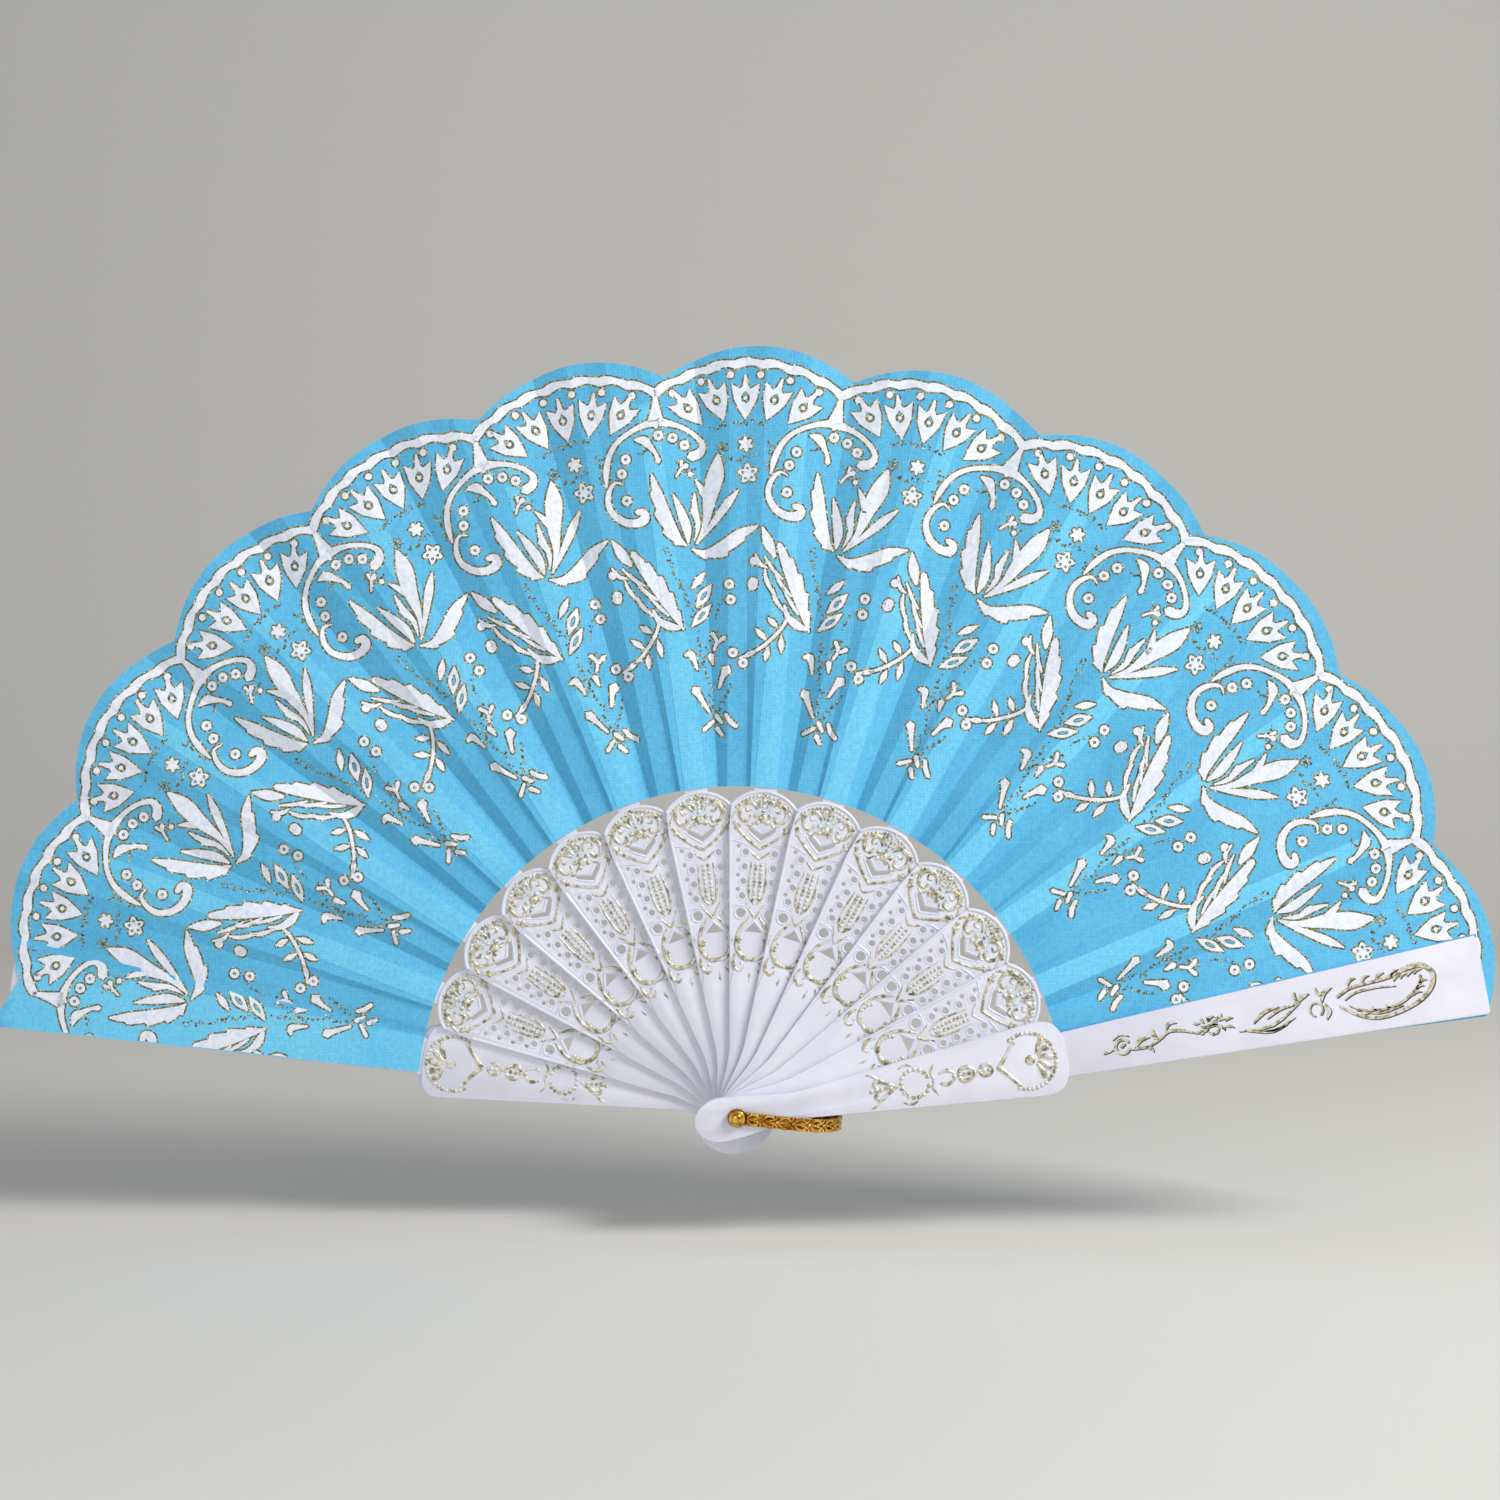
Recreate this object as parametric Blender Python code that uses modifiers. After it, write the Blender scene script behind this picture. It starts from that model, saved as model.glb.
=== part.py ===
"""A folding hand fan, open: two guards, twelve pierced sticks, a pleated cloth leaf, a rivet and a bail.

Frame: the origin is on the rivet's axis at the middle of the stack. +X is to the right, +Z is up, and the
fan's front faces -Y. Every piece turns about the rivet, which runs along Y.
"""

import math

import bmesh
import bpy

MM = 0.001

# How the fan opens
INNER_STICKS = 12
FRONT_GUARD_ANGLE = math.radians(11.2)
OPENING = math.radians(160.6)

# The stack along the rivet
PLATE = 1.2 * MM
PLATE_GAP = 0.3 * MM
GUARD_THICKNESS = 2.6 * MM
RUNNING_GAP = 0.3 * MM

# The head around the rivet, and the waist above it
PIN_RADIUS = 1.5 * MM
PIN_CLEARANCE = 0.16 * MM
HEAD_HALF_WIDTH = 6.2 * MM
HEAD_CENTRE = -4.4 * MM
TAIL_REACH = 12.2 * MM
WAIST_AT = 18.0 * MM
WAIST_HALF_WIDTH = 3.8 * MM

# The pierced shank of an inner stick
CREST_REACH = 92.5 * MM
CREST_RADIUS = 12.0 * MM
FULL_WIDTH_LENGTH = 13.5 * MM
SIDE_OVERLAP = 0.85 * MM

# Openings in the shank: the chevron is set down from the crest, and the rest follow below it
CHEVRON_BELOW_CREST = 14.9 * MM
CHEVRON_RISE = 2.7 * MM
CHEVRON_HALF_WIDTH = 3.7 * MM
CHEVRON_SLOT = 1.0 * MM
DOTS_BELOW_CHEVRON = 3.9 * MM
DOT_ROW_PITCH = 4.2 * MM
DOT_ROW_COUNT = 4
DOT_RADIUS = 0.75 * MM
DOT_OFFSET = 4.1 * MM
EYELET_BELOW_DOTS = 4.9 * MM
EYELET_RADIUS = 1.2 * MM
TRIANGLE_BELOW_EYELETS = 4.9 * MM
TRIANGLE_RISE = 2.5 * MM
TRIANGLE_HALF_WIDTH = 2.3 * MM

# The slip that carries the leaf
SLIP_OVERLAP = 8.0 * MM
SLIP_BELOW_CUSP = 6.8 * MM
SLIP_HALF_WIDTH = 3.3 * MM
SLIP_TIP_HALF_WIDTH = 2.7 * MM
SLIP_THICKNESS = 0.5 * MM

# Guards
SHOULDER_HALF_WIDTH = 10.5 * MM
SHOULDER_BEYOND_CREST = 2.3 * MM
SHOULDER_END_LENGTH = 7.8 * MM
SHOULDER_ROUNDNESS = 2.8
ARM_OVERLAP = 7.0 * MM
ARM_HALF_WIDTH = 6.0 * MM
ARM_TIP_HALF_WIDTH = 11.25 * MM
ARM_BELOW_LEAF = 5.0 * MM
ARM_TIP_CHAMFER = 0.8 * MM
ARM_STEP = 0.6 * MM
PART_OVERLAP = 0.2 * MM

# The leaf
LEAF_REACH = 219.5 * MM
SCALLOP_DEPTH = 7.7 * MM
LEAF_CLEARANCE = 0.7 * MM
SCALLOP_PERIOD = math.radians(14.87)
FIRST_CREST = math.radians(13.9)
CLOTH = 0.2 * MM
CLOTH_GAP = 0.15 * MM
MOUNTAIN = math.radians(2.7)
GLUED_SHARE = 0.324
FRONT_HEM = math.radians(3.2)
REAR_HEM = math.radians(2.4)
CHORD_ANGLE = math.radians(1.6)

# The rivet, its washer and the bail
RIVET_HEAD_RADIUS = 2.3 * MM
RIVET_HEAD_HEIGHT = 1.3 * MM
RIVET_RIM = 0.35 * MM
WASHER_RADIUS = 2.9 * MM
WASHER_THICKNESS = 0.5 * MM
BAIL_BEYOND_HEADS = 17.8 * MM
BAIL_HALF_WIDTH = 1.75 * MM
BAIL_THICKNESS = 0.9 * MM
BAIL_EYE_RADIUS = 2.6 * MM
BAIL_DROP = math.radians(6.0)

# Values that follow from the ones above
STICK_PITCH = PLATE + PLATE_GAP
STICK_ANGLE = OPENING / (INNER_STICKS + 1)
STACK_HALF = STICK_PITCH * (INNER_STICKS + 1) / 2
SHANK_AT = CREST_REACH - FULL_WIDTH_LENGTH
SHANK_HALF_WIDTH = SHANK_AT * STICK_ANGLE / 2 + SIDE_OVERLAP
CHEVRON_VERTEX = CREST_REACH - CHEVRON_BELOW_CREST
LAST_DOT = CHEVRON_VERTEX - DOTS_BELOW_CHEVRON
FIRST_DOT = LAST_DOT - (DOT_ROW_COUNT - 1) * DOT_ROW_PITCH
EYELET_AT = FIRST_DOT - EYELET_BELOW_DOTS
TRIANGLE_BASE = EYELET_AT - TRIANGLE_BELOW_EYELETS
LEAF_INNER = CREST_REACH + LEAF_CLEARANCE
LEAF_CUSP = LEAF_REACH - SCALLOP_DEPTH
VALLEY = STICK_ANGLE * GLUED_SHARE
SLIP_REACH = LEAF_CUSP - SLIP_BELOW_CUSP
SHOULDER_REACH = CREST_REACH + SHOULDER_BEYOND_CREST
SHOULDER_AT = SHOULDER_REACH - SHOULDER_END_LENGTH
ARM_REACH = LEAF_REACH - ARM_BELOW_LEAF
GUARD_FACE = STACK_HALF - PLATE / 2 + GUARD_THICKNESS
HOLE_RADIUS = PIN_RADIUS + PIN_CLEARANCE
BAIL_INNER = GUARD_FACE + RUNNING_GAP
BAIL_OUTER = BAIL_INNER + BAIL_THICKNESS
BAIL_REACH = TAIL_REACH + BAIL_BEYOND_HEADS

PLASTIC = ("white_plastic", (0.70, 0.70, 0.82), 0.35, 0.0)
CLOTH_BLUE = ("blue_cloth", (0.10, 0.48, 0.78), 0.85, 0.0)
BRASS = ("gilt_brass", (0.72, 0.42, 0.09), 0.30, 1.0)


def clear_scene():
    for old in list(bpy.data.objects):
        bpy.data.objects.remove(old, do_unlink=True)


def new_collection(name):
    collection = bpy.data.collections.new(name)
    bpy.context.scene.collection.children.link(collection)
    return collection


def new_material(name, colour, roughness, metallic):
    material = bpy.data.materials.new(name)
    material.use_nodes = True
    shader = material.node_tree.nodes["Principled BSDF"]
    shader.inputs["Base Color"].default_value = (*colour, 1.0)
    shader.inputs["Roughness"].default_value = roughness
    shader.inputs["Metallic"].default_value = metallic
    return material


def arc(centre, radius, start, end, segments):
    """Points on an arc, both ends included. The radius may be a pair, for an ellipse."""
    wide, tall = radius if isinstance(radius, tuple) else (radius, radius)
    turns = [start + (end - start) * i / segments for i in range(segments + 1)]
    return [(centre[0] + wide * math.cos(t), centre[1] + tall * math.sin(t)) for t in turns]


def circle(centre, radius, sides, turn=0.0):
    return arc(centre, radius, turn, turn + math.tau, sides)[:-1]


def mirrored(upper):
    """A closed outline from its upper half, which runs from the tail to the tip."""
    return upper + [(x, -y) for x, y in reversed(upper) if y > 0]


def flat_mesh(name, outline, thickness, holes=(), level=0.0):
    """The mesh of a flat plate that needs no joining."""
    drawn = plate(name, outline, thickness, holes, level)
    mesh = drawn.data
    bpy.data.objects.remove(drawn)
    return mesh


def plate(name, outline, thickness, holes=(), level=0.0):
    """A flat plate: a 2D curve filled and extruded, then made a mesh. level moves it along its thickness."""
    curve = bpy.data.curves.new(name, "CURVE")
    curve.dimensions = "2D"
    curve.fill_mode = "BOTH"
    curve.extrude = thickness / 2
    for loop in [outline, *holes]:
        spline = curve.splines.new("POLY")
        spline.points.add(len(loop) - 1)
        for point, (x, y) in zip(spline.points, loop):
            point.co = (x, y, 0.0, 1.0)
        spline.use_cyclic_u = True
    drawn = bpy.data.objects.new(name + "_outline", curve)
    bpy.context.scene.collection.objects.link(drawn)
    graph = bpy.context.evaluated_depsgraph_get()
    mesh = bpy.data.meshes.new_from_object(drawn.evaluated_get(graph))
    bpy.data.objects.remove(drawn, do_unlink=True)
    shape = bmesh.new()
    shape.from_mesh(mesh)
    bmesh.ops.remove_doubles(shape, verts=shape.verts, dist=1e-6)
    bmesh.ops.translate(shape, verts=shape.verts, vec=(0.0, 0.0, level))
    bmesh.ops.recalc_face_normals(shape, faces=shape.faces)
    shape.to_mesh(mesh)
    shape.free()
    mesh.name = name
    return bpy.data.objects.new(name, mesh)


def add_boolean(target, other, operation):
    other.hide_render = True
    other.display_type = "WIRE"
    cutters.objects.link(other)
    modifier = target.modifiers.new(operation.lower(), "BOOLEAN")
    modifier.operation = operation
    modifier.solver = "EXACT"
    modifier.object = other


def baked(target):
    """The object's mesh with its modifiers applied, so that several sticks can share it."""
    bpy.context.scene.collection.objects.link(target)
    graph = bpy.context.evaluated_depsgraph_get()
    mesh = bpy.data.meshes.new_from_object(target.evaluated_get(graph))
    bpy.data.objects.remove(target, do_unlink=True)
    return mesh


def place(name, mesh, angle, depth, material):
    """Stands a flat piece up in the fan: its X runs out from the rivet at this angle, its Z faces the front."""
    piece = bpy.data.objects.new(name, mesh)
    piece.location = (0.0, depth, 0.0)
    piece.rotation_euler = (math.pi / 2, -angle, 0.0)
    if not mesh.materials:
        mesh.materials.append(material)
    fan.objects.link(piece)
    return piece


def stick_depth(index):
    """Where a stick's middle lies along the rivet: 0 is the front guard."""
    return index * STICK_PITCH - STACK_HALF


def stick_angle(index):
    return FRONT_GUARD_ANGLE + index * STICK_ANGLE


def head_outline():
    """The upper half of the rounded head, from the tail to the waist."""
    tail = (TAIL_REACH + HEAD_CENTRE, HEAD_HALF_WIDTH)
    points = arc((HEAD_CENTRE, 0.0), tail, math.pi, math.pi / 2, 5)
    steps = 5
    for i in range(1, steps + 1):
        share = i / steps
        ease = 0.5 + 0.5 * math.cos(math.pi * share)
        along = HEAD_CENTRE + share * (WAIST_AT - HEAD_CENTRE)
        points.append((along, WAIST_HALF_WIDTH + ease * (HEAD_HALF_WIDTH - WAIST_HALF_WIDTH)))
    return points


def shank_outline():
    crest_centre = CREST_REACH - CREST_RADIUS
    corner = math.asin(SHANK_HALF_WIDTH / CREST_RADIUS)
    crest = arc((crest_centre, 0.0), CREST_RADIUS, corner, 0.0, 5)
    return mirrored(head_outline() + [(SHANK_AT, SHANK_HALF_WIDTH)] + crest)


def chevron():
    ends = CHEVRON_VERTEX + CHEVRON_RISE
    return [
        (CHEVRON_VERTEX, 0.0),
        (ends, -CHEVRON_HALF_WIDTH),
        (ends + CHEVRON_SLOT, -CHEVRON_HALF_WIDTH),
        (CHEVRON_VERTEX + CHEVRON_SLOT * 1.3, 0.0),
        (ends + CHEVRON_SLOT, CHEVRON_HALF_WIDTH),
        (ends, CHEVRON_HALF_WIDTH),
    ]


def shank_openings():
    openings = [circle((0.0, 0.0), HOLE_RADIUS, 16), chevron()]
    openings.append(
        [
            (TRIANGLE_BASE, -TRIANGLE_HALF_WIDTH),
            (TRIANGLE_BASE + TRIANGLE_RISE, 0.0),
            (TRIANGLE_BASE, TRIANGLE_HALF_WIDTH),
        ]
    )
    for side in (-1, 1):
        openings.append(circle((EYELET_AT, side * DOT_OFFSET), EYELET_RADIUS, 6))
        for row in range(DOT_ROW_COUNT):
            along = FIRST_DOT + row * DOT_ROW_PITCH
            # Each dot is turned a little further, so that no three corners of a row line up.
            openings.append(circle((along, side * DOT_OFFSET), DOT_RADIUS, 4, 0.3 * row))
    return openings


def slip_outline():
    root = CREST_REACH - SLIP_OVERLAP
    return mirrored(
        [
            (root, SLIP_HALF_WIDTH),
            (SLIP_REACH - SLIP_TIP_HALF_WIDTH / 2, SLIP_TIP_HALF_WIDTH),
            (SLIP_REACH, SLIP_TIP_HALF_WIDTH / 2),
        ]
    )


def stick_mesh():
    """One inner stick: the pierced shank, and the thin slip that goes on behind the cloth."""
    shank = plate("stick", shank_outline(), PLATE, shank_openings())
    add_boolean(shank, plate("slip", slip_outline(), SLIP_THICKNESS, level=slip_level()), "UNION")
    return baked(shank)


def cloth_level():
    """The glued cloth's middle, in front of the slip and just behind the shank's front face."""
    return PLATE / 2 - CLOTH / 2 - 0.02 * MM


def slip_level():
    return cloth_level() - CLOTH / 2 - CLOTH_GAP - SLIP_THICKNESS / 2


def fold_level():
    """The free panel's middle, behind the slip."""
    return slip_level() - SLIP_THICKNESS / 2 - CLOTH_GAP - CLOTH / 2


def shoulder_outline(reach_to):
    power = 2.0 / SHOULDER_ROUNDNESS
    reach = reach_to - SHOULDER_AT
    steps = 7
    end = []
    for i in range(steps + 1):
        turn = math.pi / 2 * (1 - i / steps)
        along = SHOULDER_AT + reach * max(math.cos(turn), 0.0) ** power
        end.append((along, SHOULDER_HALF_WIDTH * math.sin(turn) ** power if i < steps else 0.0))
    return mirrored(head_outline() + end)


def arm_outline():
    tip = ARM_REACH - ARM_TIP_CHAMFER
    return mirrored(
        [
            (SHOULDER_REACH - ARM_OVERLAP, ARM_HALF_WIDTH),
            (tip, ARM_TIP_HALF_WIDTH),
            (ARM_REACH, ARM_TIP_HALF_WIDTH - ARM_TIP_CHAMFER),
        ]
    )


def guard(name, index, outward):
    """A guard: the unpierced shank, its thick face, and the arm that covers the closed leaf.

    outward is +1 for the front guard, whose outer face is its own +Z, and -1 for the rear guard. The inner
    layer stops at the sticks' crests, which leaves a rebate for the leaf behind the face.
    """
    face_thickness = GUARD_THICKNESS - PLATE
    outer = outward * (GUARD_THICKNESS - PLATE / 2)
    inner = cloth_level() - CLOTH / 2 - CLOTH_GAP if outward < 0 else slip_level() + SLIP_THICKNESS / 2
    arm_face = outer - outward * ARM_STEP
    arm_thickness = abs(arm_face - inner)
    bore = [circle((0.0, 0.0), HOLE_RADIUS, 16)]
    shank = plate(name, shoulder_outline(CREST_REACH), PLATE + PART_OVERLAP, bore, outward * PART_OVERLAP / 2)
    face_level = outer - outward * face_thickness / 2
    face = plate(name + "_face", shoulder_outline(SHOULDER_REACH), face_thickness, bore, face_level)
    arm = plate(name + "_arm", arm_outline(), arm_thickness, level=(arm_face + inner) / 2)
    add_boolean(shank, face, "UNION")
    add_boolean(shank, arm, "UNION")
    place(name, baked(shank), stick_angle(index), stick_depth(index), white_plastic)


def leaf_edge(angle):
    """The scalloped outer edge: round crests that meet in cusps."""
    share = ((angle - FIRST_CREST) / SCALLOP_PERIOD + 0.5) % 1.0
    return LEAF_REACH - SCALLOP_DEPTH * (2 * share - 1) ** 2


def leaf_panel(name, index, first, last, level):
    """One pleat of the leaf, from first to last, measured from its stick's centre line."""
    steps = max(3, round((last - first) / CHORD_ANGLE))
    turns = [first + (last - first) * i / steps for i in range(steps + 1)]
    cusp = FIRST_CREST - SCALLOP_PERIOD / 2 - stick_angle(index)
    while cusp < last:
        if first < cusp and min(abs(t - cusp) for t in turns) > CHORD_ANGLE / 8:
            turns.append(cusp)
        cusp += SCALLOP_PERIOD
    turns.sort()
    outer = [(leaf_edge(t + stick_angle(index)), t) for t in turns]
    inner = [(LEAF_INNER, t) for t in reversed(turns)]
    outline = [(r * math.cos(t), r * math.sin(t)) for r, t in outer + inner]
    mesh = flat_mesh(name, outline, CLOTH, level=level)
    place(name, mesh, stick_angle(index), stick_depth(index), blue_cloth)


def build_sticks():
    last = INNER_STICKS + 1
    guard("front_guard", 0, 1)
    guard("rear_guard", last, -1)
    shared = stick_mesh()
    for index in range(1, last):
        place(f"stick_{index:02d}", shared, stick_angle(index), stick_depth(index), white_plastic)


def build_leaf():
    last = INNER_STICKS + 1
    behind_arm = slip_level() + SLIP_THICKNESS / 2 - CLOTH_GAP - CLOTH / 2
    leaf_panel("leaf_front_hem", 0, -FRONT_HEM, MOUNTAIN, behind_arm)
    leaf_panel("leaf_rear_hem", last, -VALLEY, REAR_HEM, cloth_level())
    for index in range(1, last):
        leaf_panel(f"leaf_glued_{index:02d}", index, -VALLEY, MOUNTAIN, cloth_level())
    for index in range(last):
        leaf_panel(f"leaf_fold_{index + 1:02d}", index, MOUNTAIN, STICK_ANGLE - VALLEY, fold_level())


def turned(name, profile, steps, material):
    """A turned piece about the rivet's axis. The profile runs from front to back, as (radius, depth)."""
    mesh = bpy.data.meshes.new(name)
    points = [(radius, 0.0, -depth) for radius, depth in profile]
    mesh.from_pydata(points, [(i, i + 1) for i in range(len(points) - 1)], [])
    piece = bpy.data.objects.new(name, mesh)
    piece.rotation_euler = (math.pi / 2, 0.0, 0.0)
    screw = piece.modifiers.new("screw", "SCREW")
    screw.axis = "Z"
    screw.steps = steps
    screw.render_steps = steps
    screw.use_merge_vertices = True
    screw.merge_threshold = 1e-6
    mesh.materials.append(material)
    fan.objects.link(piece)
    return piece


def build_rivet():
    """The rivet: a beaded dome in front, the pin, and a lower dome peened over the washer behind."""
    front = BAIL_OUTER + RUNNING_GAP
    back = front + WASHER_THICKNESS + RUNNING_GAP
    curve = (RIVET_HEAD_RADIUS, RIVET_HEAD_HEIGHT - RIVET_RIM)
    dome = arc((0.0, -front - RIVET_RIM), curve, -math.pi / 2, 0.0, 4)
    peened = arc((0.0, back), curve, 0.0, math.pi / 2, 4)
    dome[0] = (0.0, dome[0][1])
    peened[-1] = (0.0, peened[-1][1])
    shaft = [(RIVET_HEAD_RADIUS, -front), (PIN_RADIUS, -front), (PIN_RADIUS, back)]
    turned("rivet", dome + shaft + peened, 16, gilt_brass)

    rim, bore = (circle((0.0, 0.0), radius, 20) for radius in (WASHER_RADIUS, HOLE_RADIUS))
    washer = flat_mesh("rivet_washer", rim, WASHER_THICKNESS, [bore])
    place("rivet_washer", washer, 0.0, front + WASHER_THICKNESS / 2, gilt_brass)


def eye_cylinder(name, radius, depth, length):
    mesh = bpy.data.meshes.new(name)
    shape = bmesh.new()
    bmesh.ops.create_cone(shape, cap_ends=True, segments=20, radius1=radius, radius2=radius, depth=length)
    shape.to_mesh(mesh)
    shape.free()
    cylinder = bpy.data.objects.new(name, mesh)
    cylinder.location = (0.0, depth, 0.0)
    cylinder.rotation_euler = (math.pi / 2, BAIL_DROP, 0.0)
    return cylinder


def build_bail():
    """The carrying bail: a flat strap bent round the stack, with an eye at each end on the rivet."""
    bend_centre = BAIL_REACH - BAIL_OUTER
    outer = arc((bend_centre, 0.0), BAIL_OUTER, -math.pi / 2, math.pi / 2, 14)
    inner = arc((bend_centre, 0.0), BAIL_INNER, math.pi / 2, -math.pi / 2, 14)
    outline = [(0.0, -BAIL_OUTER), *outer, (0.0, BAIL_OUTER), (0.0, BAIL_INNER), *inner, (0.0, -BAIL_INNER)]
    bail = plate("bail", outline, BAIL_HALF_WIDTH * 2)
    bail.rotation_euler = (0.0, BAIL_DROP, 0.0)
    bail.data.materials.append(gilt_brass)
    fan.objects.link(bail)
    eye_thickness = BAIL_THICKNESS * 0.8
    eye_depth = (BAIL_INNER + BAIL_OUTER) / 2
    for name, depth in (("front_eye", -eye_depth), ("rear_eye", eye_depth)):
        add_boolean(bail, eye_cylinder(name, BAIL_EYE_RADIUS, depth, eye_thickness), "UNION")
    add_boolean(bail, eye_cylinder("eye_bore", HOLE_RADIUS, 0.0, BAIL_OUTER * 3), "DIFFERENCE")


clear_scene()
fan = new_collection("folding_fan")
cutters = new_collection("cutters")
white_plastic = new_material(*PLASTIC)
blue_cloth = new_material(*CLOTH_BLUE)
gilt_brass = new_material(*BRASS)
build_sticks()
build_leaf()
build_rivet()
build_bail()
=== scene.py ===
# %% [markdown]
# # A folding fan: moulded sticks, a pleated cloth leaf and a gilt bail
#
# A folding fan is fourteen flat sticks on one rivet, with a strip of cloth glued across them. The two
# outer sticks, the guards, are thicker and cover the rest when the fan is shut. This lesson loads the
# fan's measured frame, and gives each piece its real surface: pierced plastic with gilded relief, thin
# blue cloth with a printed lace pattern, and a chased brass bail.

# %% Load the frame
import math
import random

import bmesh
import bpy
import numpy as np
from mathutils import Matrix, Vector
from mathutils.geometry import tessellate_polygon


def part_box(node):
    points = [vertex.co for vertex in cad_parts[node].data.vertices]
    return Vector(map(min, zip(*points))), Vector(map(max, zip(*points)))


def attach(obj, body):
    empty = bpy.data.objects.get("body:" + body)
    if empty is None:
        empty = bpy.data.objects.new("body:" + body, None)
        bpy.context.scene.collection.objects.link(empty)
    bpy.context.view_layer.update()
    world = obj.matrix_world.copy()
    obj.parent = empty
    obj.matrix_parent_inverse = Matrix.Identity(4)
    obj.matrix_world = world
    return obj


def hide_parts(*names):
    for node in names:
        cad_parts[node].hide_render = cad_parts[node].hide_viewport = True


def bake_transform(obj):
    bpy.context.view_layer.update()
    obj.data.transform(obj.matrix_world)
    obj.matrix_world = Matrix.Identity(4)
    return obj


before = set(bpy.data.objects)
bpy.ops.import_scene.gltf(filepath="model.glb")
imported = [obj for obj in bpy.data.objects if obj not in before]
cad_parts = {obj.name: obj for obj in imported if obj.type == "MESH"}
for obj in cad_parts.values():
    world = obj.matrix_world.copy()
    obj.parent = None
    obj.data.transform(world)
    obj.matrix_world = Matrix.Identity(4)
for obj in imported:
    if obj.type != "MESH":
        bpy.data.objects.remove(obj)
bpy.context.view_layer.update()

MM = 0.001

# %% [markdown]
# ## What the frame says about the fan
# Each stick lies at its own depth along the rivet and at its own angle round it. Both are read from the
# frame's solids: a box gives the depth, and the far end of a stick gives its angle. The front of the
# fan faces -Y, and angles run from +X upwards, anticlockwise as the viewer sees them.


# %% Read the angles and depths of the sticks
def far_angle(name):
    """The angle of a stick's outer end round the rivet."""
    points = np.array([v.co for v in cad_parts[name].data.vertices])
    reach = np.hypot(points[:, 0], points[:, 2])
    tip = points[reach > 0.97 * reach.max()].mean(axis=0)
    return math.atan2(tip[2], tip[0])


def middle_depth(name):
    low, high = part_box(name)
    return (low.y + high.y) / 2


INNER_NAMES = [f"stick_{number:02d}" for number in range(1, 13)]
STICK_NAMES = ["front_guard", *INNER_NAMES, "rear_guard"]
LAST = len(STICK_NAMES) - 1
first_angle = far_angle("front_guard")
pitch_angle = (far_angle("rear_guard") - first_angle) / LAST
step_depth = (middle_depth("stick_12") - middle_depth("stick_01")) / 11
first_depth = middle_depth("stick_01") - step_depth


def stick_angle(index):
    return first_angle + index * pitch_angle


def stick_depth(index):
    return first_depth + index * step_depth


print(f"first stick at {math.degrees(first_angle):.2f} degrees, then every {math.degrees(pitch_angle):.3f}")
print(f"one stick every {step_depth / MM:.2f} mm of depth, from {first_depth / MM:.2f} mm")

# %% [markdown]
# ## Small tools
# Everything below is made of a few kinds of step: make a mesh, add a node, smooth a line through some
# points, and stand a flat piece up in the fan. Each has one short function, so that the cells that
# follow can talk about the fan.


# %% Node, mesh and placing helpers
def add(tree, kind, inputs=None, **settings):
    """Adds a node. An input that is given a node or a socket is linked to it, and any other value is set."""
    node = tree.nodes.new(kind)
    for name, value in settings.items():
        setattr(node, name, value)
    for key, value in (inputs or {}).items():
        if isinstance(value, bpy.types.Node):
            value = value.outputs[0]
        if isinstance(value, bpy.types.NodeSocket):
            tree.links.new(value, node.inputs[key])
        else:
            node.inputs[key].default_value = value
    return node


def new_tree(name, sizes):
    """A Geometry Nodes tree with a geometry input and output, and a named input for each size."""
    tree = bpy.data.node_groups.new(name, "GeometryNodeTree")
    tree.interface.new_socket("Geometry", in_out="INPUT", socket_type="NodeSocketGeometry")
    tree.interface.new_socket("Geometry", in_out="OUTPUT", socket_type="NodeSocketGeometry")
    for label, kind in sizes.items():
        tree.interface.new_socket(label, in_out="INPUT", socket_type="NodeSocket" + kind)
    return tree, tree.nodes.new("NodeGroupInput")


def close_tree(tree, geometry, material_socket):
    """Every tree ends the same way: real geometry, with its material."""
    real = add(tree, "GeometryNodeRealizeInstances", {"Geometry": geometry})
    painted = add(tree, "GeometryNodeSetMaterial", {"Geometry": real, "Material": material_socket})
    add(tree, "NodeGroupOutput", {0: painted})


def run_tree(source, tree, sizes):
    """Runs the tree on an object and returns the result as a plain mesh. The source object is removed."""
    modifier = source.modifiers.new(tree.name, "NODES")
    modifier.node_group = tree
    sockets = {item.name: item.identifier for item in tree.interface.items_tree if item.in_out == "INPUT"}
    for label, value in sizes.items():
        modifier[sockets[label]] = value
    return plain_mesh(source)


def plain_mesh(source):
    """The object's evaluated mesh, with nothing live left on it. The object is removed."""
    if source.name not in bpy.context.scene.collection.objects:
        bpy.context.scene.collection.objects.link(source)
    bpy.context.view_layer.update()
    graph = bpy.context.evaluated_depsgraph_get()
    mesh = bpy.data.meshes.new_from_object(source.evaluated_get(graph))
    bpy.data.objects.remove(source, do_unlink=True)
    return mesh


def tidy(mesh, merge=2e-6, crease=32):
    """Merges doubles, points every face outwards, and shades smooth up to the crease angle in degrees."""
    shape = bmesh.new()
    shape.from_mesh(mesh)
    bmesh.ops.remove_doubles(shape, verts=shape.verts, dist=merge)
    bmesh.ops.dissolve_degenerate(shape, edges=shape.edges, dist=merge / 4)
    bmesh.ops.recalc_face_normals(shape, faces=shape.faces)
    for face in shape.faces:
        face.smooth = True
    for edge in shape.edges:
        sharp = len(edge.link_faces) == 2 and edge.calc_face_angle(0.0) > math.radians(crease)
        edge.smooth = not sharp
    shape.to_mesh(mesh)
    shape.free()
    return mesh


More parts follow.
